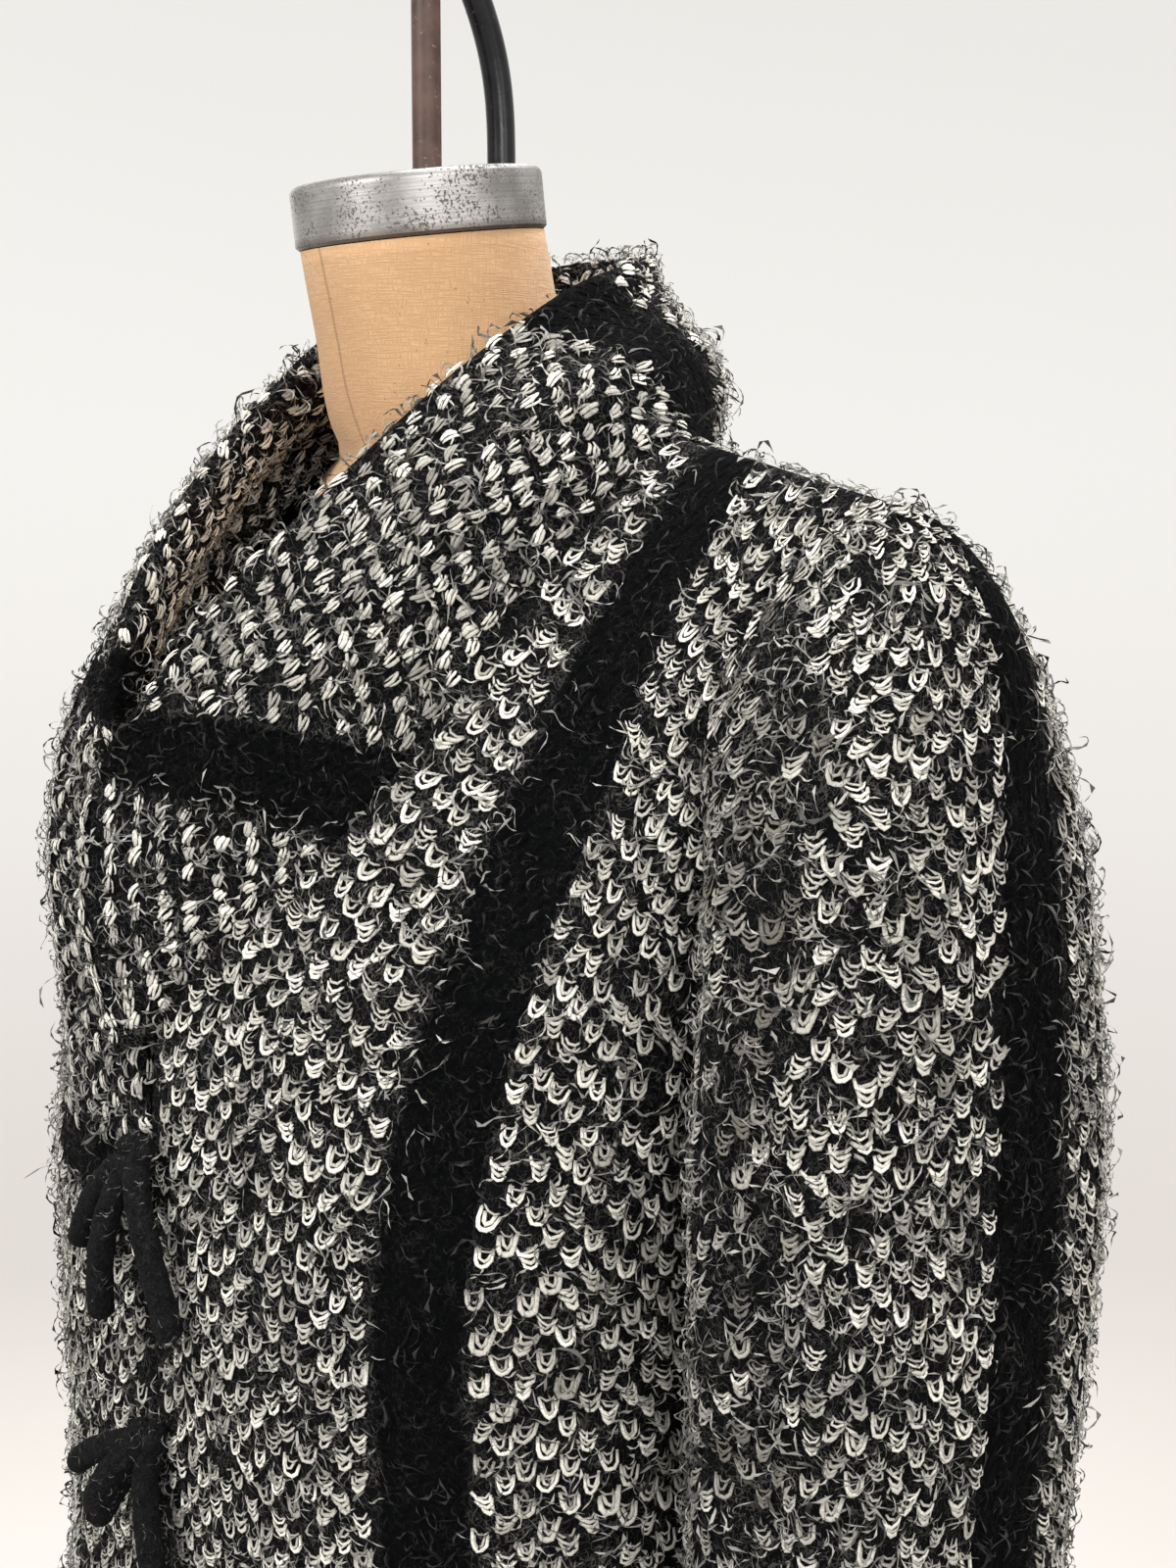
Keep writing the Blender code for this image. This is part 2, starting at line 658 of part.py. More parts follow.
def tie(name, place, ends, look):
    """One knotted tie: a rounded knot at the front edge, with its cord ends joined on."""
    centre = Vector((0, *place))
    work = bmesh.new()
    bmesh.ops.create_uvsphere(work, u_segments=16, v_segments=10, radius=1.0)
    bmesh.ops.transform(work, matrix=Matrix.Diagonal((*KNOT_HALF_AXES, 1.0)), verts=work.verts)
    bmesh.ops.translate(work, vec=centre, verts=work.verts)
    knot = add_object(name, work, look)
    for i, (way, tip) in enumerate(ends):
        end = cord_end(f"{name}_end_{i}", centre, centre + Vector(way), centre + Vector(tip), look)
        end.hide_render = True
        end.display_type = "WIRE"
        joined = knot.modifiers.new(f"join_{i}", "BOOLEAN")
        joined.operation = "UNION"
        joined.object = end
    return knot


CLOTH = material("mohair_tweed", (0.24, 0.235, 0.225), 0.95)
CORD = material("felted_cord", (0.012, 0.014, 0.016), 0.95)
LINEN = material("form_linen", (0.52, 0.36, 0.21), 0.85)
ALUMINIUM = material("cast_aluminium", (0.62, 0.63, 0.65), 0.42, 1.0)
BROWN = material("brown_paint", (0.13, 0.075, 0.06), 0.55)
STEEL = material("blackened_steel", (0.10, 0.105, 0.115), 0.32, 0.9)
IRON = material("cast_iron_paint", (0.03, 0.03, 0.032), 0.5)

# Fronts and back, cut to each other along the side and shoulder seams.
left_grid = front_grid(LEFT_NECKLINE)
right_grid = mirrored(front_grid(RIGHT_NECKLINE))
whole_ridge = np.full(FRONT_COLUMNS, True)
left = panel_walls("coat_front_left", left_grid, (-1,), FRONT_ARM_ROW, whole_ridge, CLOTH)
right = panel_walls("coat_front_right", right_grid, (0,), FRONT_ARM_ROW, whole_ridge, CLOTH)
on_shoulder = np.abs(back_shares()) > NECK_SHARE - SEAM_GAP
back = panel_walls("coat_back", back_grid(left_grid[:, -1]), (0, -1), BACK_ARM_ROW, on_shoulder, CLOTH)

rings = [armhole_ring(front, rear) for front, rear in zip(left, back)]
sleeve("sleeve_left", *rings, False, CLOTH)
sleeve("sleeve_right", *rings, True, CLOTH)

# The collar starts at each front's neckline and goes round the back of the neck.
centre = NECK_COLUMNS + SHOULDER_COLUMNS
left_neck = slice(SHOULDER_COLUMNS, centre + 1)
right_neck = slice(centre + NECK_COLUMNS, centre - 1, -1)
left_seams = [half_neckline(front, rear, 0, left_neck) for front, rear in zip(left, back)]
right_seams = [half_neckline(front, rear, -1, right_neck) for front, rear in zip(right, back)]
collar("collar", left_seams, right_seams, CLOTH)

tie("tie_upper", UPPER_KNOT, UPPER_TIE_ENDS, CORD)
tie("tie_lower", LOWER_KNOT, LOWER_TIE_ENDS, CORD)

form_torso("form_torso", LINEN)
neck_cap("neck_cap", ALUMINIUM)

# The curved bar leaves the back of the cap and bends forward to the upright rod above it.
bar("hanging_rod", [(0, 0, ROD_FOOT_Z), (0, 0, ROD_TOP_Z)], ROD_RADIUS, BROWN)
bar("curved_bar", [bezier(CURVED_BAR, t) for t in np.linspace(0, 1, 20)], ROD_RADIUS, STEEL)

form_foot_z = FORM["z"][0]
bar("stand_pole", [(0, 0, BASE_HEIGHT + SEAM_GAP), (0, 0, form_foot_z - SEAM_GAP)], POLE_RADIUS, BROWN)
turned("stand_base", zip(BASE["radius"], BASE["z"]), IRON)
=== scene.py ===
import json
import math

import bpy
import numpy as np
from mathutils import Matrix, Vector

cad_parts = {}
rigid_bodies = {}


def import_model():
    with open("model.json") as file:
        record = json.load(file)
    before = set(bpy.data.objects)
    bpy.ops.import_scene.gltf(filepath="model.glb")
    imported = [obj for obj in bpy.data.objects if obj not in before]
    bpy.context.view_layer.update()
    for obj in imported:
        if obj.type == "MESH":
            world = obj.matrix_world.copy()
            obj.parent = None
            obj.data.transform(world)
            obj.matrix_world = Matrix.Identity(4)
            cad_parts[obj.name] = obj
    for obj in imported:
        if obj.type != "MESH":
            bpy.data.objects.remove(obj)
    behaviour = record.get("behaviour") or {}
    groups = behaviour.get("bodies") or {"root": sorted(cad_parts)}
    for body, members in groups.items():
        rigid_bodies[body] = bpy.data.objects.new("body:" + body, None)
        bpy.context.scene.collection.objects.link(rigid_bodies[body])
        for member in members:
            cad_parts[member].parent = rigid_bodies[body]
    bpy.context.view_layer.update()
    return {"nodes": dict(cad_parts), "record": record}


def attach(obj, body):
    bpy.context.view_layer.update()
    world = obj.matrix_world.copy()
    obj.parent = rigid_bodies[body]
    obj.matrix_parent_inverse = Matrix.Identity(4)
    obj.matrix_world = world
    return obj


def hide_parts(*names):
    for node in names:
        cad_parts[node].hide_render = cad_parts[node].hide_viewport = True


for leftover in list(bpy.data.objects):
    bpy.data.objects.remove(leftover, do_unlink=True)

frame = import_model()
print("frame loaded with", len(frame["nodes"]), "nodes")


def byColumn(names, rows):
    return dict(zip(names, np.array(rows, float).T))


# The coat's cut, in metres: +Z up, -Y the front, +X the wearer's left.
# A share runs across a panel from the centre (0) to the side (1).
# A rise runs up it from the hem (0) to the shoulder (1).
coatCut = {
    "wall": 0.005,
    "collarWall": 0.010,
    "hemZ": 0.45,
    "bustZ": 1.06,
    "bladeZ": 1.13,
    "bustRise": 0.62,
    "bladeRise": 0.66,
    "sectionPower": 2.6,
    "ridgeEndX": 0.268,
    "ridgeTopZ": 1.4560,
    "ridgeSlope": 0.215,
    "ridgeY": 0.040,
    "ridgeSpread": 0.85,
    "frontArmpit": 0.33,
    "backArmpit": 0.20,
    "neckShare": 0.46,
    "backNeckDrop": 0.1333,
    "frontEdge": 0.006,
}
bodySections = byColumn(("z", "halfWidth", "front", "back"), (
    (0.45, 0.258, 0.172, 0.160),
    (0.60, 0.246, 0.166, 0.155),
    (0.74, 0.230, 0.160, 0.150),
    (0.84, 0.217, 0.157, 0.146),
    (0.95, 0.214, 0.157, 0.142),
    (1.06, 0.214, 0.160, 0.140),
    (1.13, 0.215, 0.160, 0.142),
))
frontFolds = byColumn(("share", "spread", "depth", "topZ"), (
    (0.30, 0.10, 0.007, 0.98),
    (0.52, 0.09, -0.006, 0.86),
    (0.76, 0.11, 0.009, 1.02),
))
backFolds = byColumn(("share", "spread", "depth", "topZ"), (
    (0.14, 0.10, 0.008, 1.10),
    (0.42, 0.11, -0.009, 0.98),
    (0.68, 0.10, 0.010, 1.08),
))
leftNeckline = byColumn(("up", "share"), (
    (0.13, 0.006), (0.22, 0.120), (0.32, 0.260), (0.44, 0.355), (0.60, 0.410), (0.80, 0.455), (1.00, 0.460),
))
rightNeckline = byColumn(("up", "share"), (
    (0.02, 0.370), (0.14, 0.380), (0.28, 0.380), (0.44, 0.380), (0.60, 0.410), (0.80, 0.455), (1.00, 0.460),
))
leftCollarEdge = byColumn(("along", "x", "y", "z", "bulge"), (
    (0.00, -0.005, -0.168, 1.152, 0.000),
    (0.14, -0.020, -0.178, 1.222, 0.004),
    (0.27, -0.006, -0.172, 1.283, 0.008),
    (0.36, 0.014, -0.159, 1.315, 0.010),
    (0.46, 0.040, -0.132, 1.361, 0.012),
    (0.56, 0.068, -0.088, 1.412, 0.013),
    (0.66, 0.086, -0.038, 1.458, 0.014),
    (0.76, 0.091, 0.020, 1.493, 0.019),
    (0.87, 0.070, 0.082, 1.510, 0.026),
    (1.00, 0.000, 0.114, 1.517, 0.026),
))
rightCollarEdge = byColumn(("along", "x", "y", "z", "bulge"), (
    (0.00, -0.003, -0.160, 1.078, 0.004),
    (0.14, -0.012, -0.163, 1.150, 0.016),
    (0.27, -0.032, -0.165, 1.220, 0.028),
    (0.38, -0.042, -0.160, 1.282, 0.030),
    (0.50, -0.056, -0.136, 1.350, 0.022),
    (0.60, -0.072, -0.092, 1.405, 0.020),
    (0.69, -0.086, -0.040, 1.452, 0.018),
    (0.78, -0.091, 0.018, 1.491, 0.019),
    (0.88, -0.070, 0.082, 1.510, 0.026),
    (1.00, 0.000, 0.114, 1.517, 0.026),
))
sleeveSections = byColumn(("z", "x", "y", "halfX", "halfY"), (
    (0.840, 0.2730, 0.034, 0.0515, 0.089),
    (0.900, 0.2740, 0.036, 0.0525, 0.092),
    (0.970, 0.2755, 0.039, 0.0540, 0.096),
    (1.050, 0.2775, 0.043, 0.0560, 0.100),
    (1.130, 0.2780, 0.044, 0.0570, 0.103),
))
formRings = byColumn(("z", "halfWidth", "front", "back", "centreY", "power"), (
    (0.7900, 0.1200, 0.0800, 0.0850, 0.0000, 2.20),
    (0.7980, 0.1480, 0.1000, 0.1080, 0.0000, 2.20),
    (0.8500, 0.1620, 0.1100, 0.1200, 0.0000, 2.20),
    (0.9500, 0.1480, 0.1000, 0.1080, 0.0000, 2.20),
    (1.0300, 0.1180, 0.0860, 0.0800, 0.0000, 2.20),
    (1.1000, 0.1280, 0.1040, 0.0800, 0.0000, 2.20),
    (1.1750, 0.1460, 0.1230, 0.0880, 0.0000, 2.20),
    (1.2400, 0.1460, 0.1160, 0.0960, 0.0020, 2.10),
    (1.3000, 0.1460, 0.1080, 0.0960, 0.0060, 1.90),
    (1.3450, 0.1480, 0.1040, 0.0820, 0.0140, 1.60),
    (1.3800, 0.1520, 0.1000, 0.0600, 0.0300, 1.30),
    (1.4035, 0.1540, 0.0870, 0.0480, 0.0370, 1.15),
    (1.4125, 0.1520, 0.0790, 0.0440, 0.0390, 1.15),
    (1.4195, 0.1400, 0.0730, 0.0420, 0.0380, 1.15),
    (1.4285, 0.1040, 0.0710, 0.0440, 0.0320, 1.40),
    (1.4390, 0.0780, 0.0650, 0.0500, 0.0220, 1.80),
    (1.4520, 0.0660, 0.0610, 0.0560, 0.0140, 2.00),
    (1.4800, 0.0600, 0.0595, 0.0580, 0.0065, 2.00),
    (1.5220, 0.0580, 0.0580, 0.0580, -0.0030, 2.00),
))


def curveThrough(xs, ys, at, steady=False):
    # steady keeps each stretch between its two ends, without an overshoot
    slopes = np.gradient(ys, xs)
    if steady:
        chords = np.diff(ys) / np.diff(xs)
        before, after = chords[:-1], chords[1:]
        total = np.where(before + after == 0, 1, before + after)
        even = np.where(before * after > 0, 2 * before * after / total, 0)
        slopes = np.concatenate([[chords[0]], even, [chords[-1]]])
    at = np.clip(at, xs[0], xs[-1])
    i = np.clip(np.searchsorted(xs, at) - 1, 0, len(xs) - 2)
    step = xs[i + 1] - xs[i]
    t = (at - xs[i]) / step
    start = (1 + 2 * t) * (1 - t) ** 2 * ys[i] + t * (1 - t) ** 2 * step * slopes[i]
    end = t * t * (3 - 2 * t) * ys[i + 1] + t * t * (t - 1) * step * slopes[i + 1]
    return start + end


def easeInOut(t):
    t = np.clip(t, 0.0, 1.0)
    return t * t * (3 - 2 * t)


def bezierAt(controls, t):
    level = [np.array(point, float) for point in controls]
    while len(level) > 1:
        level = [(1 - t) * a + t * b for a, b in zip(level, level[1:])]
    return level[0]


def unitOf(vectors):
    return vectors / np.maximum(np.linalg.norm(vectors, axis=-1, keepdims=True), 1e-12)


def superellipse(angle, halfX, halfY, power):
    c, s = np.cos(angle), np.sin(angle)
    x = halfX * np.sign(c) * np.abs(c) ** (2 / power)
    y = halfY * np.sign(s) * np.abs(s) ** (2 / power)
    return x, y


def quarterSection(z, side, shares):
    halfWidth = curveThrough(bodySections["z"], bodySections["halfWidth"], z)
    depth = curveThrough(bodySections["z"], bodySections["front" if side < 0 else "back"], z)
    y, x = superellipse(np.linspace(0, math.pi / 2, 121), side * depth, halfWidth, coatCut["sectionPower"])
    run = np.concatenate([[0], np.cumsum(np.hypot(np.diff(x), np.diff(y)))])
    run /= run[-1]
    return np.interp(shares, run, x), np.interp(shares, run, y)


def bodyRow(side, shares, rise):
    # one level of the body's outer surface, side -1 in front and +1 behind
    shares = np.clip(np.asarray(shares, float), 0, 1)
    split = coatCut["bustRise"] if side < 0 else coatCut["bladeRise"]
    turnZ = coatCut["bustZ"] if side < 0 else coatCut["bladeZ"]
    folds = frontFolds if side < 0 else backFolds
    if rise <= split:
        z = coatCut["hemZ"] + (turnZ - coatCut["hemZ"]) * rise / split
        x, y = quarterSection(z, side, shares)
        strength = folds["depth"] * easeInOut((folds["topZ"] - z) / (folds["topZ"] - coatCut["hemZ"]))
        across = (shares[:, None] - folds["share"]) / folds["spread"]
        push = 1 + (strength * np.exp(-across * across)).sum(axis=1) / np.hypot(x, y)
        return np.stack([x * push, y * push, np.full(len(shares), z)], axis=1)
    x, y = quarterSection(turnZ, side, shares)
    foot = np.stack([x, y, np.full(len(shares), turnZ)], axis=1)
    topX = coatCut["ridgeEndX"] * shares ** coatCut["ridgeSpread"]
    topZ = coatCut["ridgeTopZ"] - coatCut["ridgeSlope"] * topX
    top = np.stack([topX, np.full(len(shares), coatCut["ridgeY"]), topZ], axis=1)
    if side < 0:
        inner = np.maximum(0, 1 - shares / 0.6)
        lift, reach = 0.13 + 0.13 * inner, 0.024 + 0.08 * inner
    else:
        lift, reach = 0.17 - 0.04 * shares, 0.115 - 0.085 * shares
    low = foot + lift[:, None] * np.array([0, 0, 1])
    high = top + reach[:, None] * np.array([0, side, 0])
    return bezierAt((foot, low, high, top), (rise - split) / (1 - split))


def armholeShare(side, rise):
    split = coatCut["bustRise"] if side < 0 else coatCut["bladeRise"]
    start = split + coatCut["frontArmpit" if side < 0 else "backArmpit"] * (1 - split)
    up = max(0.0, (rise - start) / (1 - start))
    return 1.0 - 0.20 * max(0.0, math.sin(math.pi * up**0.75)) ** 1.3


def necklineShare(neckline, rise):
    up = (rise - coatCut["bustRise"]) / (1 - coatCut["bustRise"])
    if up < neckline["up"][0]:
        return coatCut["frontEdge"]
    return float(curveThrough(neckline["up"], neckline["share"], up))


def backTop(share):
    part = min(1.0, abs(share) / coatCut["neckShare"])
    return 1.0 - coatCut["backNeckDrop"] * math.sqrt(1 - part * part)


def surfaceNormals(points, closed=False):
    along = np.gradient(points, axis=0)
    if closed:
        across = np.roll(points, -1, axis=1) - np.roll(points, 1, axis=1)
    else:
        across = np.gradient(points, axis=1)
    return unitOf(np.cross(across, along))


# The knit: size of one stitch, and the wales that are black.
knit = {
    "waleWidth": 0.0085,
    "courseHeight": 0.00875,
    "frontWales": 34,
    "stripeStart": 0.485,
    "stripeEnd": 0.610,
    "stripeDrift": 0.062,
    "liningShift": 1000.0,
}


def waleDrift(rise):
    # the wales lean out a little between the bust and the shoulder
    return knit["stripeDrift"] * easeInOut((rise - 0.62) / 0.33)


def waleToShare(wale, rise):
    return wale + waleDrift(rise) * 4 * wale * (1 - wale)


def shareToWale(share, rise):
    wale = np.array(share, float)
    for _ in range(4):
        wale = share - waleDrift(rise) * 4 * wale * (1 - wale)
    return wale


def bodyStripe(wale):
    # how many stitches inside the black stripe, negative outside
    middle = (knit["stripeStart"] + knit["stripeEnd"]) / 2
    reach = (knit["stripeEnd"] - knit["stripeStart"]) / 2
    return (reach - np.abs(np.abs(wale) - middle)) * knit["frontWales"]


def arcsUp(points):
    steps = np.linalg.norm(np.diff(points, axis=0), axis=1 if points.ndim == 2 else 2)
    return np.concatenate([np.zeros((1,) + steps.shape[1:]), np.cumsum(steps, axis=0)])


def softRelief(points, seed, depth=0.0011):
    # slow unevenness of hanging cloth, the same for walls and stitches, gone on the shoulders
    phase = np.array([1.7, 4.1, 0.6]) * seed
    wave = np.sin(points @ np.array([41.0, 23.0, 13.0]) + phase[0])
    wave += np.sin(points @ np.array([-17.0, 37.0, 29.0]) + phase[1])
    wave += 0.7 * np.sin(points @ np.array([63.0, -31.0, 47.0]) + phase[2])
    return depth * wave * (1 - 0.9 * easeInOut((points[..., 2] - 1.32) / 0.07))


# Fields: each cloth piece as a grid of outer points, one column per place across and one row per level.
def denseArcs(side):
    # arc length up the panel at shares 0 to 1, for even courses
    shares = np.linspace(0, 1, 41)
    rises = np.linspace(0, 1, 241)
    arcs = arcsUp(np.array([bodyRow(side, shares, rise) for rise in rises]))
    return shares, rises, arcs


def arcAt(table, share, rise):
    shares, rises, arcs = table
    column = np.clip(np.abs(share), 0, 1) * (len(shares) - 1)
    row = np.clip(rise, 0, 1) * (len(rises) - 1)
    i, j = np.minimum(row.astype(int), len(rises) - 2), np.minimum(column.astype(int), len(shares) - 2)
    u, v = column - j, row - i
    low = arcs[i, j] * (1 - u) + arcs[i, j + 1] * u
    high = arcs[i + 1, j] * (1 - u) + arcs[i + 1, j + 1] * u
    return low * (1 - v) + high * v


def fieldOf(outer, wales, stripe, rowsUp=True, closed=False, valid=None):
    # normals point out of the cloth, and arcs grow along the wale from the hem, cuff or seam
    arcs = arcsUp(outer)
    if not rowsUp:
        arcs = arcs[-1] - arcs
    if valid is None:
        valid = np.ones(outer.shape[:2], bool)
    return {
        "outer": outer, "normals": surfaceNormals(outer, closed), "arcs": arcs, "wales": wales,
        "stripe": stripe, "closed": closed, "rowsUp": rowsUp, "valid": valid,
    }


def mirroredField(field):
    turned = dict(field)
    for key in ("outer", "normals"):
        turned[key] = (field[key] * np.array([-1, 1, 1]))[:, ::-1]
    for key in ("arcs", "valid", "stripe", "wales"):
        turned[key] = field[key][..., ::-1]
    return turned


# How finely the body's panels are divided, and how far stitches keep from a panel's edge.
panelCut = {
    "frontColumns": 34, "backColumns": 67, "backRows": 112, "rowsBelowCollar": 70, "rowsBesideCollar": 46,
    "waleRows": 241, "edgeRoom": 0.010, "topRoom": 0.005, "collarStep": 0.003,
}
frontArcs, backArcs = denseArcs(-1), denseArcs(1)


def seamRise(neckline):
    # where the collar's seam begins
    return coatCut["bustRise"] + neckline["up"][0] * (1 - coatCut["bustRise"])


def withRelief(outer):
    return outer + softRelief(outer, 1.0)[..., None] * surfaceNormals(outer)


def panelField(grid, wales, arcs):
    wales = np.array(wales)
    field = fieldOf(withRelief(np.array(grid)), wales * knit["frontWales"], bodyStripe(wales))
    field["arcs"] = np.array(arcs)
    return field


def waleField(wale, grid, valid):
    stripe = np.tile(bodyStripe(wale), (panelCut["waleRows"], 1))
    return fieldOf(withRelief(np.array(grid)), np.arange(len(wale)), stripe, valid=np.array(valid))


def frontCloth(neckline):
    seam = seamRise(neckline)
    below = np.linspace(0, seam - panelCut["collarStep"], panelCut["rowsBelowCollar"])
    columns = panelCut["frontColumns"]
    grid, wales, arcs = [], [], []
    for rise in np.concatenate([below, np.linspace(seam, 1, panelCut["rowsBesideCollar"])]):
        shares = np.linspace(necklineShare(neckline, rise), armholeShare(-1, rise), columns)
        grid.append(bodyRow(-1, shares, rise))
        wales.append(shareToWale(shares, rise))
        arcs.append(arcAt(frontArcs, shares, np.full(columns, rise)))
    return panelField(grid, wales, arcs)


def frontWales(neckline):
    wale = (np.arange(knit["frontWales"]) + 0.5) / knit["frontWales"]
    room = panelCut["edgeRoom"]
    grid, valid = [], []
    for rise in np.linspace(0, 1, panelCut["waleRows"]):
        shares = waleToShare(wale, rise)
        grid.append(bodyRow(-1, shares, rise))
        low, high = necklineShare(neckline, rise), armholeShare(-1, rise)
        valid.append((shares > low + room) & (shares < high - room) & (rise < 1 - panelCut["topRoom"]))
    return waleField(wale, grid, valid)


def backCloth():
    columns = panelCut["backColumns"]
    places = np.linspace(-1, 1, columns)
    grid, wales, arcs = [], [], []
    for level in np.linspace(0, 1, panelCut["backRows"]):
        blend = easeInOut((level - 0.55) / 0.45)
        shares = places * armholeShare(1, level)
        row = np.empty((columns, 3))
        rises = np.array([level * (1 - blend) + level * backTop(p) * blend for p in places])
        for rise in np.unique(rises):
            here = rises == rise
            row[here] = bodyRow(1, np.abs(shares[here]), rise)
        row[:, 0] *= -np.sign(shares)
        grid.append(row)
        wales.append(np.sign(shares) * shareToWale(np.abs(shares), rises))
        arcs.append(arcAt(backArcs, shares, rises))
    return panelField(grid, wales, arcs)


def backWales():
    half = (np.arange(knit["frontWales"]) + 0.5) / knit["frontWales"]
    wale = np.concatenate([-half[::-1], half])
    room = panelCut["edgeRoom"]
    grid, valid = [], []
    for rise in np.linspace(0, 1, panelCut["waleRows"]):
        shares = waleToShare(np.abs(wale), rise)
        row = bodyRow(1, shares, rise)
        row[:, 0] *= -np.sign(wale)
        grid.append(row)
        edge = armholeShare(1, rise)
        tops = np.array([backTop(share / edge) for share in shares])
        valid.append((shares < edge - room) & (rise < tops - room))
    return waleField(wale, grid, valid)


# The sleeve runs from the armhole down to the cuff, its places counted round from the shoulder.
sleeveCut = {
    "wales": 60, "valleyAt": 1.30, "valleyDepth": 0.011, "stripeHalf": 2.3, "stripeShift": 1.1,
    "power": 2.3, "topRoom": 0.008,
}


def armholePoints(turn):
    armpitFront = coatCut["bustRise"] + coatCut["frontArmpit"] * (1 - coatCut["bustRise"])
    armpitBack = coatCut["bladeRise"] + coatCut["backArmpit"] * (1 - coatCut["bladeRise"])
    armpit = bodyRow(-1, [1.0], armpitFront)[0]
    backArmpit = bodyRow(1, [1.0], armpitBack)[0]
    points = []
    for angle in np.mod(turn, 2 * math.pi):
        if angle <= math.pi:
            rise = 1 - (1 - armpitFront) * angle / math.pi
            points.append(bodyRow(-1, [armholeShare(-1, rise)], rise)[0])
        else:
            rise = armpitBack + (1 - armpitBack) * (angle - math.pi) / math.pi
            fade = max(0.0, 1 - (angle - math.pi) / 0.26)
            points.append(bodyRow(1, [armholeShare(1, rise)], rise)[0] + fade * (armpit - backArmpit))
    return np.array(points)


def sleeveGrid(turn, headRows, armRows):
    count = len(turn)
    sections = []
    table = sleeveSections
    for z in np.linspace(table["z"][-1], table["z"][0], armRows):
        row = [curveThrough(table["z"], table[name], z) for name in ("x", "y", "halfX", "halfY")]
        x, y, halfX, halfY = row
        dx, dy = superellipse(-turn, halfX, halfY, sleeveCut["power"])
        sections.append(np.stack([x + dx, y + dy, np.full(count, z)], axis=1))
    topness = (1 + np.cos(turn)) / 2
    zero = np.zeros(count)
    leave = np.stack([0.026 + 0.048 * topness, -0.030 * np.sin(turn), -0.002 - 0.010 * topness], axis=1)
    arrive = np.stack([zero, zero, 0.03 + 0.14 * topness], axis=1)
    start, end = armholePoints(turn) + np.array([0.0004, 0, 0]), sections[0]
    head = [bezierAt((start, start + leave, end + arrive, end), t) for t in np.linspace(0, 1, headRows)]
    grid = np.array(head + sections[1:])
    # a soft lengthwise valley in front, and a slighter one behind
    normals = surfaceNormals(grid, True)
    down = np.linspace(0, 1, len(grid))[:, None]
    reach = easeInOut((down - 0.12) / 0.25)
    front = np.exp(-((turn - sleeveCut["valleyAt"]) / 0.30) ** 2)
    rear = np.exp(-((turn - 2 * math.pi + 1.25) / 0.34) ** 2)
    push = -sleeveCut["valleyDepth"] * reach * (front * (1 + 0.35 * np.sin(9 * down + 1)) + 0.6 * rear)
    push += 0.5 * softRelief(grid, 2.0)
    push *= easeInOut(down / 0.12)
    return grid + push[..., None] * normals


def evenTurns(count):
    # places round the sleeve a stitch apart, measured at its upper arm
    turn = np.linspace(0, 2 * math.pi, 721)
    table = sleeveSections
    dx, dy = superellipse(-turn, table["halfX"][-1], table["halfY"][-1], sleeveCut["power"])
    run = np.concatenate([[0], np.cumsum(np.hypot(np.diff(dx), np.diff(dy)))])
    return np.interp(np.arange(count) / count * run[-1], run, turn)


def sleeveField(count, headRows, armRows, centred):
    turn = evenTurns(count)
    if centred:
        doubled = evenTurns(count * 2)
        turn = doubled[1::2]
    outer = sleeveGrid(turn, headRows, armRows)
    scale = sleeveCut["wales"] / count
    wales = (np.arange(count) + (0.5 if centred else 0.0)) * scale
    half = sleeveCut["wales"] / 2
    away = np.abs(np.mod(wales + sleeveCut["stripeShift"] + half, sleeveCut["wales"]) - half)
    stripe = np.tile(sleeveCut["stripeHalf"] - away, (len(outer), 1))
    valid = arcsUp(outer) > sleeveCut["topRoom"] if centred else None
    return fieldOf(outer, wales, stripe, rowsUp=False, closed=True, valid=valid)
# The collar stands on the neckline seam, swells out and ends in a soft rolled edge.
collarCut = {
    "rows": 16, "roll": 7, "columns": 76, "rollSwell": 0.013, "seamGap": 0.0003,
    "blackBands": ((0.104, 0.133), (0.330, 0.376), (0.565, 0.608), (0.790, 0.816), (0.975, 1.02)),
}


def seamPoint(side, share, rise, low, high, reverse):
    # a point of the neckline seam and the way out of the cloth there
    near = np.array([bodyRow(side, [share - 0.01, share, share + 0.01], r) for r in (low, high)])
    across, up = near[0, 2] - near[0, 0], near[1, 1] - near[0, 1]
    outward = np.cross(up, across) if reverse else np.cross(across, up)
    return bodyRow(side, [share], rise)[0], unitOf(outward)


def collarSeam(neckline, mirror):
    found = []
    for rise in np.linspace(seamRise(neckline), 1, 64):
        share = necklineShare(neckline, rise)
        found.append(seamPoint(-1, share, rise, rise - 0.004, min(rise + 0.004, 1), False))
    for share in np.linspace(coatCut["neckShare"], 0, 30)[1:]:
        rise = backTop(share)
        found.append(seamPoint(1, share, rise, rise - 0.006, rise, True))
    seam, depth = (np.array(column) for column in zip(*found))
    padded = np.concatenate([np.repeat(depth[:1], 4, axis=0), depth, np.repeat(depth[-1:], 4, axis=0)])
    depth = unitOf(sum(padded[i : i + len(depth)] for i in range(9)))
    if mirror:
        seam, depth = seam * np.array([-1, 1, 1]), depth * np.array([-1, 1, 1])
    return seam, depth


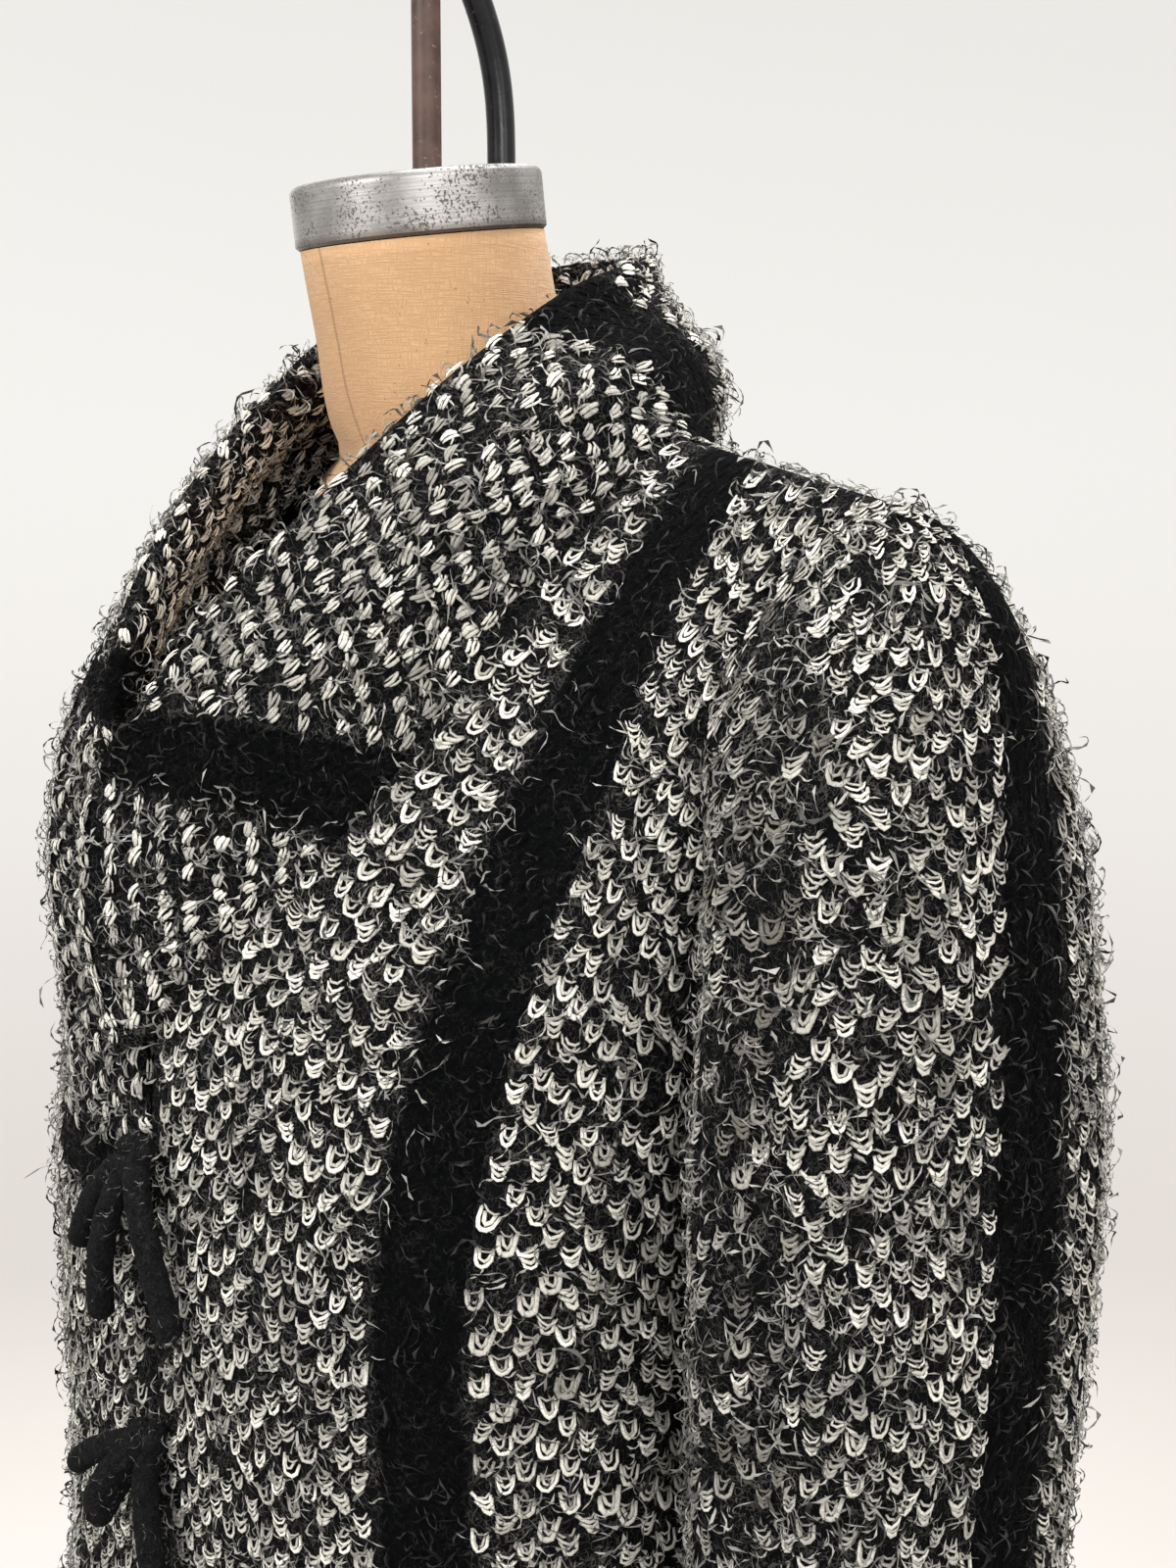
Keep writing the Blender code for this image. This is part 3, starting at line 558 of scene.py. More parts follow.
def collarHalf(neckline, edgeTable, mirror):
    seam, depth = collarSeam(neckline, mirror)
    steps = np.linalg.norm(np.diff(seam, axis=0), axis=1)
    alongs = np.concatenate([[0], np.cumsum(steps)]) / steps.sum()
    even = np.linspace(0, 1, collarCut["columns"])
    seam = np.stack([np.interp(even, alongs, seam[:, k]) for k in range(3)], axis=1)
    depth = unitOf(np.stack([np.interp(even, alongs, depth[:, k]) for k in range(3)], axis=1))
    seam[0] += panelCut["collarStep"] * unitOf(seam[1] - seam[0])
    edge = np.stack([curveThrough(edgeTable["along"], edgeTable[c], even) for c in "xyz"], axis=1)
    bulge = curveThrough(edgeTable["along"], edgeTable["bulge"], even)[:, None]
    run = unitOf(np.gradient(seam, axis=0))
    toward = edge - seam
    across = np.cross(run, depth)
    across *= np.sign(np.sum(across * toward, axis=1, keepdims=True))
    away = unitOf(np.cross(run, toward))
    away *= np.sign(np.sum(away[:, :2] * (seam[:, :2] - np.array([0.0, 0.02])), axis=1, keepdims=True))
    start = seam + collarCut["seamGap"] * across
    places = np.linspace(0, 1, collarCut["rows"])
    outer = np.array([start + t * (edge - start) + math.sin(math.pi * t) ** 2 * bulge * away for t in places])
    normals = surfaceNormals(outer)
    if np.sum(normals * depth) < 0:
        normals = -normals
    outer = outer + (0.5 * softRelief(outer, 3.0) * np.sin(math.pi * places)[:, None])[..., None] * normals
    thick = coatCut["wall"] + (coatCut["collarWall"] - coatCut["wall"]) * easeInOut(places / 0.35)
    thick += collarCut["rollSwell"] * np.sin(math.pi * np.clip((places - 0.22) / 0.90, 0, 1)) ** 2
    thick[-1] *= 0.80
    inner = outer - thick[:, None, None] * normals
    inner[0] = start - coatCut["wall"] * depth
    return outer, inner


def collarLoop():
    # from the seam up the outside, over the roll and down the inside
    leftOuter, leftInner = collarHalf(leftNeckline, leftCollarEdge, False)
    rightOuter, rightInner = collarHalf(rightNeckline, rightCollarEdge, True)
    outer = np.concatenate([leftOuter, rightOuter[:, ::-1][:, 1:]], axis=1)
    inner = np.concatenate([leftInner, rightInner[:, ::-1][:, 1:]], axis=1)
    top, under = outer[-1], inner[-1]
    ahead = unitOf(outer[-1] - outer[-2])
    middle, radius = (top + under) / 2, (top - under) / 2
    half = np.linalg.norm(radius, axis=1, keepdims=True)
    turns = np.linspace(0, math.pi, collarCut["roll"] + 2)[1:-1]
    roll = np.array([middle + radius * math.cos(a) + ahead * half * math.sin(a) for a in turns])
    return np.concatenate([outer, roll, inner[::-1]])


print("cloth functions ready")


# Cloth walls: the outer face, the inner face behind it, and a rounded rim round the open edges.
def rimLoops(rows, columns, closed):
    if closed:
        return [[(0, j) for j in range(columns)], [(rows - 1, j) for j in range(columns - 1, -1, -1)]]
    loop = [(0, j) for j in range(columns)] + [(i, columns - 1) for i in range(1, rows)]
    loop += [(rows - 1, j) for j in range(columns - 2, -1, -1)] + [(i, 0) for i in range(rows - 2, 0, -1)]
    return [loop]


def inwardStep(i, j, rows, columns, closed):
    di = 1 if i == 0 else -1 if i == rows - 1 else 0
    dj = 0 if closed else 1 if j == 0 else -1 if j == columns - 1 else 0
    return i + di, j + dj


def clothWall(name, field, wall, finish):
    outer, closed = field["outer"], field["closed"]
    rows, columns = outer.shape[:2]
    inner = outer - wall * field["normals"]
    points = [outer.reshape(-1, 3), inner.reshape(-1, 3)]
    wales = np.broadcast_to(field["wales"], (rows, columns))
    courses = field["arcs"] / knit["courseHeight"]
    stripe = np.broadcast_to(field["stripe"], (rows, columns))
    if closed:
        wales = np.concatenate([wales, wales[:, :1] + sleeveCut["wales"]], axis=1)
        courses = np.concatenate([courses, courses[:, :1]], axis=1)
    faces, uvs = [], []
    for i in range(rows - 1):
        for j in range(columns if closed else columns - 1):
            k = (j + 1) % columns
            corners = [(i, j), (i, j + 1), (i + 1, j + 1), (i + 1, j)]
            ring = [i * columns + j, i * columns + k, (i + 1) * columns + k, (i + 1) * columns + j]
            uv = [(wales[a, b], courses[a, b]) for a, b in corners]
            faces.append(ring)
            uvs.append(uv)
            faces.append([v + rows * columns for v in ring[::-1]])
            uvs.append([(a + knit["liningShift"], b) for a, b in uv[::-1]])
    rim, rimStripe = [], []
    back = rows * columns
    for loop in rimLoops(rows, columns, closed):
        first = 2 * back + len(rim)
        for n, (i, j) in enumerate(loop):
            a, b = inwardStep(i, j, rows, columns, closed)
            push = unitOf(outer[i, j] - outer[a, b])
            rim.append((outer[i, j] + inner[i, j]) / 2 + 0.45 * wall * push)
            rimStripe.append(stripe[i, j])
            m = (n + 1) % len(loop)
            p, q = loop[m]
            here, there = i * columns + j, p * columns + q
            faces.append([there, here, first + n, first + m])
            faces.append([first + m, first + n, here + back, there + back])
            wrap = columns if closed and (q == 0 and j == columns - 1) else q
            start = columns if closed and (j == 0 and q == columns - 1) else j
            one, two = (wales[i, start], courses[i, j]), (wales[p, wrap], courses[p, q])
            uvs.append([two, one, one, two])
            uvs.append([two, one, one, two])
    points.append(np.array(rim))
    stripes = np.concatenate([stripe.reshape(-1), stripe.reshape(-1), rimStripe])
    return meshPiece(name, np.concatenate(points), faces, finish, uvs, stripes)


def setValues(mesh, name, kind, values):
    flat = np.ascontiguousarray(values, np.int32 if kind == "INT" else np.float32).reshape(-1)
    key = "vector" if kind == "FLOAT_VECTOR" else "value"
    mesh.attributes.new(name, kind, "POINT").data.foreach_set(key, flat)


def fillMesh(name, points, faces, uvs=None, smooth=True):
    mesh = bpy.data.meshes.new(name)
    mesh.from_pydata([tuple(p) for p in points], [], [tuple(f) for f in faces])
    if uvs is not None:
        layer = mesh.uv_layers.new(name="UVMap")
        layer.data.foreach_set("uv", np.array([c for face in uvs for c in face], np.float32).reshape(-1))
    mesh.polygons.foreach_set("use_smooth", [smooth] * len(mesh.polygons))
    return mesh


def linked(name, data):
    piece = bpy.data.objects.new(name, data)
    bpy.context.scene.collection.objects.link(piece)
    return piece


def meshPiece(name, points, faces, finish, uvs=None, stripes=None):
    mesh = fillMesh(name, points, faces, uvs)
    if stripes is not None:
        setValues(mesh, "stripe", "FLOAT", stripes)
    mesh.materials.append(finish)
    mesh.validate()
    return linked(name, mesh)


# Scattered yarn: one Geometry Nodes tree sets a pattern piece on each marked point of a panel.
def scatterTree():
    tree = bpy.data.node_groups.new("yarnScatter", "GeometryNodeTree")
    for name, kind in (
        ("Geometry", "Geometry"), ("Patterns", "Collection"), ("Finish", "Material"),
        ("Turn", "Float"), ("Lean", "Float"), ("Uneven", "Float"), ("Seed", "Int"),
    ):
        tree.interface.new_socket(name, in_out="INPUT", socket_type="NodeSocket" + kind)
    tree.interface.new_socket("Geometry", in_out="OUTPUT", socket_type="NodeSocketGeometry")
    node, link = tree.nodes.new, tree.links.new
    given, made = node("NodeGroupInput"), node("NodeGroupOutput")

    def marked(name, kind):
        reader = node("GeometryNodeInputNamedAttribute")
        reader.data_type = kind
        reader.inputs["Name"].default_value = name
        return reader.outputs["Attribute"]

    def randomTurn(low, high, seed):
        chance = node("FunctionNodeRandomValue")
        chance.data_type = "FLOAT_VECTOR"
        chance.inputs["Min"].default_value = low
        chance.inputs["Max"].default_value = high
        offset = node("ShaderNodeMath")
        offset.inputs[1].default_value = seed
        link(given.outputs["Seed"], offset.inputs[0])
        link(offset.outputs[0], chance.inputs["Seed"])
        return chance.outputs["Value"]

    facing = node("FunctionNodeAxesToRotation")
    facing.primary_axis, facing.secondary_axis = "Z", "Y"
    link(marked("outward", "FLOAT_VECTOR"), facing.inputs["Primary Axis"])
    link(marked("upward", "FLOAT_VECTOR"), facing.inputs["Secondary Axis"])
    amounts = node("ShaderNodeCombineXYZ")
    link(given.outputs["Lean"], amounts.inputs["X"])
    link(given.outputs["Lean"], amounts.inputs["Y"])
    link(given.outputs["Turn"], amounts.inputs["Z"])
    wobble = node("ShaderNodeVectorMath")
    wobble.operation = "MULTIPLY"
    link(randomTurn((-1, -1, -1), (1, 1, 1), 1), wobble.inputs[0])
    link(amounts.outputs[0], wobble.inputs[1])
    euler = node("FunctionNodeEulerToRotation")
    link(wobble.outputs[0], euler.inputs[0])
    turned = node("FunctionNodeRotateRotation")
    turned.rotation_space = "LOCAL"
    link(facing.outputs[0], turned.inputs[0])
    link(euler.outputs[0], turned.inputs[1])
    swing = node("ShaderNodeVectorMath")
    swing.operation = "MULTIPLY_ADD"
    link(randomTurn((-1, -1, -1), (1, 1, 1), 2), swing.inputs[0])
    link(given.outputs["Uneven"], swing.inputs[1])
    swing.inputs[2].default_value = (1, 1, 1)
    scale = node("ShaderNodeVectorMath")
    scale.operation = "MULTIPLY"
    link(marked("size", "FLOAT_VECTOR"), scale.inputs[0])
    link(swing.outputs[0], scale.inputs[1])
    shapes = node("GeometryNodeCollectionInfo")
    shapes.inputs["Separate Children"].default_value = True
    shapes.inputs["Reset Children"].default_value = True
    link(given.outputs["Patterns"], shapes.inputs["Collection"])
    place = node("GeometryNodeInstanceOnPoints")
    place.inputs["Pick Instance"].default_value = True
    link(given.outputs["Geometry"], place.inputs["Points"])
    link(shapes.outputs[0], place.inputs["Instance"])
    link(marked("kind", "INT"), place.inputs["Instance Index"])
    link(turned.outputs[0], place.inputs["Rotation"])
    link(scale.outputs[0], place.inputs["Scale"])
    realize, finish = node("GeometryNodeRealizeInstances"), node("GeometryNodeSetMaterial")
    link(place.outputs[0], realize.inputs[0])
    link(realize.outputs[0], finish.inputs["Geometry"])
    link(given.outputs["Finish"], finish.inputs["Material"])
    link(finish.outputs[0], made.inputs["Geometry"])
    return tree


yarnScatter = scatterTree()


def scatterYarn(name, places, patterns, finish, turn, lean, uneven, seed):
    mesh = fillMesh(name, places["at"], [])
    for key in ("outward", "upward", "size"):
        setValues(mesh, key, "FLOAT_VECTOR", places[key])
    setValues(mesh, "kind", "INT", places["kind"])
    setValues(mesh, "tone", "FLOAT", places["tone"])
    piece = linked(name, mesh)
    scatter = piece.modifiers.new("Scatter", "NODES")
    scatter.node_group = yarnScatter
    given = {
        "Patterns": patterns, "Finish": finish, "Turn": turn,
        "Lean": lean, "Uneven": uneven, "Seed": seed,
    }
    for item in yarnScatter.interface.items_tree:
        if item.name in given:
            scatter[item.identifier] = given[item.name]
    depsgraph = bpy.context.evaluated_depsgraph_get()
    live = piece.evaluated_get(depsgraph)
    made = bpy.data.meshes.new_from_object(live, preserve_all_data_layers=True, depsgraph=depsgraph)
    piece.modifiers.clear()
    piece.data = made
    for used in ("outward", "upward", "size", "kind"):
        if used in made.attributes:
            made.attributes.remove(made.attributes[used])
    print(name, len(places["at"]), "set,", sum(len(p.vertices) - 2 for p in made.polygons), "triangles")
    return piece


# Strands: each stitch is a few nested loops of soft yarn, with a raised crest and pointed ends.
stitchCut = {
    "crest": 0.06, "dome": 0.12, "variants": 4, "wisps": 1, "tone": 0.76, "lift": 0.0003,
    "tall": 0.98 * 1.06, "wide": 0.96 * 1.12, "deep": 0.0090,
}


def strandRibbon(path, half, crest, points, faces, uvs):
    # three rows of points along the path, the middle one raised
    path = np.array(path, float)
    side = sideOf(path)
    first, last = len(points), len(path) - 1
    for n, point in enumerate(path):
        taper = 0.35 + 0.65 * math.sin(math.pi * (n + 0.35) / (last + 0.7)) ** 0.5
        width = half * taper
        points.append(tuple(point - side[n] * width))
        points.append(tuple(point + np.array([0, 0, crest * taper])))
        points.append(tuple(point + side[n] * width))
    for n in range(last):
        for k in range(2):
            a = first + 3 * n + k
            faces.append((a, a + 1, a + 4, a + 3))
            uvs.append([((n + i) / last, (k + j) / 2) for i, j in ((0, 0), (0, 1), (1, 1), (1, 0))])


def sideOf(path):
    # level and square to the path at each of its points
    run = unitOf(np.gradient(path, axis=0))
    return np.stack([run[:, 1], -run[:, 0], np.zeros(len(path))], axis=1)


def stripFaces(first, count):
    # triangles along points that alternate between a strip's two sides
    odd = [(k - first) % 2 for k in range(first, first + count - 2)]
    return [(k + turned, k + 1 - turned, k + 2) for k, turned in enumerate(odd, first)]


def smile(bottom, halfWidth, rise, steps, power=1.7, lean=0.0, lift=0.0):
    path = []
    for t in np.linspace(-1, 1, steps + 1):
        x = halfWidth * math.sin(t * math.pi / 2 * 0.92) / math.sin(math.pi / 2 * 0.92)
        y = bottom + rise * abs(t) ** power
        height = stitchCut["dome"] * (1 - 1.1 * abs(t) ** 2) + lift
        path.append((x + lean * y, y, height))
    return path


def wisp(rng, points, faces, uvs):
    # a loose fibre that curls out of the stitch
    heading = rng.uniform(0, 2 * math.pi)
    spot = np.array([0.30 * math.cos(heading), 0.30 * math.sin(heading) - 0.1, 0.12])
    first, count = len(points), 6
    for n in range(count):
        aside = np.array([-math.sin(heading), math.cos(heading), 0]) * (0.0045 if n % 2 else -0.0045)
        points.append(tuple(spot + aside))
        heading += rng.normal(0, 0.75)
        spot = spot + 0.21 * np.array([math.cos(heading), math.sin(heading), rng.uniform(-0.1, 0.45)])
    faces += stripFaces(first, count)
    uvs += [[(0.5, 0.5)] * 3] * (count - 2)


def patternSet(name, designs, variants, seed):
    # several uneven versions of each design, every strand with its own shade
    rng = np.random.default_rng(seed)
    group = bpy.data.collections.new(name)
    for n, design in enumerate(designs):
        for version in range(variants):
            points, faces, uvs, shades = [], [], [], []
            for k, (path, half, shade) in enumerate(design):
                path = np.array(path)
                path[:, 0] *= rng.uniform(0.80, 1.12)
                path[:, 1] += rng.normal(0, 0.16) * path[:, 0] + rng.normal(0, 0.04)
                path[:, :2] += rng.normal(0, 0.026, (len(path), 2)) + np.array([rng.normal(0, 0.045), 0])
                strandRibbon(path, half * rng.uniform(0.62, 1.20), stitchCut["crest"], points, faces, uvs)
                shades += [shade * rng.uniform(0.62, 1.15)] * (len(points) - len(shades))
            for _ in range(stitchCut["wisps"]):
                wisp(rng, points, faces, uvs)
                shades += [rng.uniform(0.20, 0.45)] * (len(points) - len(shades))
            mesh = fillMesh(f"{name}{n}{version}", points, faces, uvs)
            setValues(mesh, "shade", "FLOAT", shades)
            group.objects.link(bpy.data.objects.new(mesh.name, mesh))
    return group


def stacked(lean):
    # a filled stitch: bowls of yarn one above the other
    return [
        (smile(-0.47, 0.31, 0.42, 4, 1.8, lean), 0.120, 1.0),
        (smile(-0.22, 0.41, 0.42, 4, 1.7, lean, 0.02), 0.112, 0.88),
        (smile(0.04, 0.45, 0.36, 4, 1.7, lean, 0.02), 0.108, 1.0),
        (smile(0.29, 0.40, 0.22, 3, 1.7, lean), 0.080, 0.62),
    ]


def hollow(lean):
    # an open stitch: two nested loops round a dark middle
    return [
        (smile(-0.46, 0.42, 0.90, 6, 2.3, lean), 0.135, 1.0),
        (smile(-0.20, 0.27, 0.56, 4, 2.0, lean, 0.02), 0.108, 0.75),
        (smile(0.26, 0.34, 0.20, 3, 1.6, lean), 0.060, 0.50),
    ]


def grain(bend, lean, fat):
    # a purl bump: short strands side by side, drawn together at their ends
    return [
        (smile(-0.27, 0.40, 0.10 + bend, 4, 2.2, lean, -0.01), 0.13 * fat, 0.85),
        (smile(0.00, 0.50, bend, 4, 2.2, lean, 0.04), 0.15 * fat, 1.0),
        (smile(0.27, 0.40, bend - 0.10, 4, 2.2, lean, -0.01), 0.13 * fat, 0.90),
    ]


# Patterns are one stitch wide and high: 1 unit is a stitch, so a place's size is in metres.
loopDesigns = [hollow(0.0), stacked(0.0), stacked(0.30), stacked(-0.30), hollow(0.12)]
dashDesigns = [grain(0.06, 0.15, 1.0), grain(-0.08, -0.12, 1.1), grain(0.16, 0.0, 0.9)]
loopPatterns = patternSet("loopPattern", loopDesigns, stitchCut["variants"], 21)
dashPatterns = patternSet("dashPattern", dashDesigns, stitchCut["variants"], 22)


def hairPath(rng, length, lift, crimp, steps):
    heading = rng.uniform(0, 2 * math.pi)
    point = np.array([0.0, 0.0, 0.0])
    path = [point.copy()]
    for n in range(steps):
        heading += rng.normal(0, crimp)
        step = length / steps
        point = point + step * np.array([math.cos(heading), math.sin(heading), 0])
        point[2] = lift * math.sin(math.pi * (n + 1) / (steps + 0.6)) + rng.normal(0, 0.08 * lift)
        path.append(point.copy())
    return path


def hairSet(name, count, length, lift, crimp, steps, width, seed):
    # a hair is a strip of small triangles that alternates between its two sides
    rng = np.random.default_rng(seed)
    group = bpy.data.collections.new(name)
    for n in range(count):
        size = length * rng.uniform(0.7, 1.3), lift * rng.uniform(0.4, 1.4)
        path = np.array(hairPath(rng, *size, crimp, steps))
        signs = np.where(np.arange(len(path)) % 2 == 0, 1, -1)[:, None]
        points = path + sideOf(path) * signs * width / 2
        mesh = fillMesh(f"{name}{n}", points, stripFaces(0, len(path)), smooth=False)
        group.objects.link(bpy.data.objects.new(mesh.name, mesh))
    return group


# Hairs: how many shapes, their length, lift and crimp, and how many of each sort lie on a piece of cloth.
hairKinds = {"haze": 24, "stray": 20}
hazeHairs = hairSet("hazeHair", hairKinds["haze"], 0.0100, 0.0032, 0.95, 5, 0.000078, 5)
strayHairs = hairSet("strayHair", hairKinds["stray"], 0.0150, 0.0056, 0.62, 7, 0.00007, 6)
placeKeys = ("at", "outward", "upward", "size", "kind", "tone")


def between(values, k, rows):
    low = np.minimum(rows.astype(int), len(values) - 2)
    part = (rows - low).reshape((-1,) + (1,) * (values[:, k].ndim - 1))
    return values[low, k] * (1 - part) + values[low + 1, k] * part


def evenly(k, up):
    return 0.0


def stitchPlaces(field, rng, weights, offset, dimming):
    # one place for each cream stitch: every second course of each wale, the next wale half a repeat on
    outer, normals, arcs, valid = field["outer"], field["normals"], field["arcs"], field["valid"]
    if not field["rowsUp"]:
        outer, normals, arcs, valid = outer[::-1], normals[::-1], arcs[::-1], valid[::-1]
    if field["closed"]:
        spacing = np.linalg.norm(np.roll(outer, -1, axis=1) - np.roll(outer, 1, axis=1), axis=2) / 2
    else:
        spacing = np.linalg.norm(np.gradient(outer, axis=1), axis=2)
    tangents = np.gradient(outer, axis=0)
    found = []
    course, variants = knit["courseHeight"], stitchCut["variants"]
    stripe = field["stripe"][0]
    for k in range(outer.shape[1]):
        if stripe[k] > -0.15:
            continue
        courses = np.arange(offset + (k % 2), int(arcs[-1, k] / course), 2)
        slip = rng.normal(0, 0.13, len(courses))
        rows = np.interp((courses + 0.5 + slip) * course, arcs[:, k], np.arange(len(arcs)))
        rows = rows[(rows > 0.2) & (rows < len(arcs) - 1.2)]
        kept = valid[np.minimum(rows.round().astype(int), len(valid) - 1), k]
        # dimming is painted shade: where it is high, fewer cream stitches are kept and the ones left are
        # darker
        rows = rows[kept & (rng.random(len(rows)) > 0.05 + 0.9 * dimming(k, 0.5))]
        count = len(rows)
        if not count:
            continue
        across = between(spacing, k, rows)
        outward, upward = unitOf(between(normals, k, rows)), unitOf(between(tangents, k, rows))
        aside = np.cross(upward, outward) * (rng.normal(0, 0.08, count) * across)[:, None]
        at = between(outer, k, rows) + outward * stitchCut["lift"] + aside
        high, deep = np.full(count, course * stitchCut["tall"]), np.full(count, stitchCut["deep"])
        size = np.stack([across * stitchCut["wide"], high, deep], axis=1)
        kind = rng.choice(len(weights), count, p=weights) * variants + rng.integers(0, variants, count)
        tone = rng.normal(0, 0.22, count) - dimming(k, rows / len(outer))
        found.append((at, outward, upward, size, kind, tone))
    found = {key: np.concatenate(values) for key, values in zip(placeKeys, zip(*found))}
    slow = 0.5 * softRelief(found["at"] * np.array([1.6, 1.6, 0.8]), 7.0, 1.0) / 2.2
    found["tone"] = np.clip(stitchCut["tone"] + found["tone"] + 0.26 * slow, 0.04, 1.0)
    return found


def hairPlaces(field, rng, count, kinds, tones, onStripe):
    # spread evenly by area over the panel, with the stripes' hairs in their own dark tone
    outer, normals = field["outer"], field["normals"]
    stripe = np.broadcast_to(field["stripe"], outer.shape[:2])
    if field["closed"]:
        outer = np.concatenate([outer, outer[:, :1]], axis=1)
        normals = np.concatenate([normals, normals[:, :1]], axis=1)
    a, b, c = outer[:-1, :-1], outer[:-1, 1:], outer[1:, :-1]
    area = np.linalg.norm(np.cross(b - a, c - a), axis=2).reshape(-1)
    cell = rng.choice(len(area), count, p=area / area.sum())
    i, j = np.divmod(cell, outer.shape[1] - 1)
    u, v = rng.random(count)[:, None], rng.random(count)[:, None]

    def blended(grid):
        low = grid[i, j] * (1 - u) + grid[i, j + 1] * u
        return low * (1 - v) + (grid[i + 1, j] * (1 - u) + grid[i + 1, j + 1] * u) * v

    outward = unitOf(blended(normals))
    at = blended(outer) + outward * 0.0006
    black = stripe[i, j] > 0
    keep = ~black | (rng.random(count) < onStripe)
    tone = rng.uniform(*tones, count)
    tone[black] = rng.uniform(0.0, 0.06, black.sum())
    upward = np.tile([0.0, 0.0, 1.0], (count, 1)) + 0.01
    found = (at, outward, upward, np.ones((count, 3)), rng.integers(0, kinds, count), tone)
    return {key: values[keep] for key, values in zip(placeKeys, found)}


print("yarn patterns ready")


# Materials. A wire is a node's output: plain arithmetic on it makes math nodes.
class Wire:
    def __init__(self, tree, socket):
        self.tree = tree
        self.socket = socket

    def __add__(self, other):
        return calc("ADD", self, other)

    def __sub__(self, other):
        return calc("SUBTRACT", self, other)

    def __rsub__(self, other):
        return calc("SUBTRACT", other, self)

    def __mul__(self, other):
        return calc("MULTIPLY", self, other)

    def __truediv__(self, other):
        return calc("DIVIDE", self, other)

    def __abs__(self):
        return calc("ABSOLUTE", self)


def nodeIn(tree, kind, **settings):
    made = tree.nodes.new(kind)
    for name, value in settings.items():
        setattr(made, name, value)
    return made


def feed(tree, socket, value):
    if isinstance(value, Wire):
        tree.links.new(value.socket, socket)
    else:
        socket.default_value = value


def calc(operation, *values):
    tree = next(value.tree for value in values if isinstance(value, Wire))
    made = nodeIn(tree, "ShaderNodeMath", operation=operation)
    for socket, value in zip(made.inputs, values):
        feed(tree, socket, value)
    return Wire(tree, made.outputs[0])


def clamped(wire):
    wire.socket.node.use_clamp = True
    return wire


def partsOf(vector):
    made = nodeIn(vector.tree, "ShaderNodeSeparateXYZ")
    feed(vector.tree, made.inputs[0], vector)
    return [Wire(vector.tree, output) for output in made.outputs]


def ramped(value, low, high):
    made = nodeIn(value.tree, "ShaderNodeMapRange", interpolation_type="SMOOTHSTEP")
    feed(value.tree, made.inputs["Value"], value)
    made.inputs["From Min"].default_value = low
    made.inputs["From Max"].default_value = high
    return Wire(value.tree, made.outputs["Result"])


def mixed(mask, low, high):
    made = nodeIn(mask.tree, "ShaderNodeMix", data_type="RGBA", blend_type="MIX")
    feed(mask.tree, made.inputs[0], mask)
    for socket, value in ((made.inputs[6], low), (made.inputs[7], high)):
        feed(mask.tree, socket, value if isinstance(value, Wire) else (*value, 1.0))
    return Wire(mask.tree, made.outputs[2])


def cloudy(where, scale, detail=2.0, roughness=0.5, distortion=0.0):
    made = nodeIn(where.tree, "ShaderNodeTexNoise")
    names = ("Vector", "Scale", "Detail", "Roughness", "Distortion")
    for name, value in zip(names, (where, scale, detail, roughness, distortion)):
        feed(where.tree, made.inputs[name], value)
    return Wire(where.tree, made.outputs["Fac"])


def placed(where, scale, offset=(0, 0, 0), turn=(0, 0, 0)):
    made = nodeIn(where.tree, "ShaderNodeMapping")
    for name, value in (("Vector", where), ("Scale", scale), ("Location", offset), ("Rotation", turn)):
        feed(where.tree, made.inputs[name], value)
    return Wire(where.tree, made.outputs["Vector"])


def raised(height, strength, distance):
    made = nodeIn(height.tree, "ShaderNodeBump")
    for name, value in (("Height", height), ("Strength", strength), ("Distance", distance)):
        feed(height.tree, made.inputs[name], value)
    return Wire(height.tree, made.outputs["Normal"])


def attributeOf(tree, name):
    made = nodeIn(tree, "ShaderNodeAttribute", attribute_type="GEOMETRY", attribute_name=name)
    return Wire(tree, made.outputs["Fac"])


def effectGroup(name, output, **sizes):
    # a group with a vector and named sizes going in, and one value coming out
    group = bpy.data.node_groups.new(name, "ShaderNodeTree")
    group.interface.new_socket("Vector", in_out="INPUT", socket_type="NodeSocketVector")
    for label, value in sizes.items():
        made = group.interface.new_socket(label, in_out="INPUT", socket_type="NodeSocketFloat")
        made.default_value = value
    group.interface.new_socket(output, in_out="OUTPUT", socket_type="NodeSocketFloat")
    given, result = group.nodes.new("NodeGroupInput"), group.nodes.new("NodeGroupOutput")
    return group, [Wire(group, given.outputs[label]) for label in ("Vector", *sizes)], result.inputs[output]


def effect(group, where, **sizes):
    made = nodeIn(where.tree, "ShaderNodeGroup", node_tree=group)
    for label, value in {"Vector": where, **sizes}.items():
        feed(where.tree, made.inputs[label], value)
    return Wire(where.tree, made.outputs[0])


# Fibre web: thin winding lines where three slow noises cross their middle value.
fibreWeb, (spot, scale, thickness), result = effectGroup("fibreWeb", "Web", Scale=160.0, Thickness=0.03)
web = None
for n, (stretch, turn) in enumerate((((1, 0.8, 1), 0.3), ((0.7, 1, 1.1), 1.4), ((1.1, 0.9, 0.6), 2.4))):
    moved = placed(spot, stretch, (n * 1.7, n * 2.3, n * 0.9), (turn, turn * 0.7, turn))
    line = clamped(1.0 - abs(cloudy(moved, scale, 1.0, 0.5, 0.6) - 0.5) / thickness)
    web = line if web is None else calc("MAXIMUM", web, line)
feed(fibreWeb, result, web)

# Specks: small uneven spots, more of them where a slow noise allows.
specks, (spot, scale, amount), result = effectGroup("specks", "Spots", Scale=300.0, Amount=0.35)
level = 0.86 - cloudy(spot, 35.0, 2.0) * amount
feed(specks, result, clamped((cloudy(spot, scale, 2.0, 0.6) - level) * 14.0))


def newFinish(name, **sockets):
    # the material, where a point lies on the piece, and its place in stitches
    finish = bpy.data.materials.new(name)
    finish.use_nodes = True
    tree = finish.node_tree
    for label, value in sockets.items():
        tree.nodes["Principled BSDF"].inputs[label.replace("_", " ")].default_value = value
    space = tree.nodes.new("ShaderNodeTexCoord")
    return finish, Wire(tree, space.outputs["Object"]), Wire(tree, space.outputs["UV"])


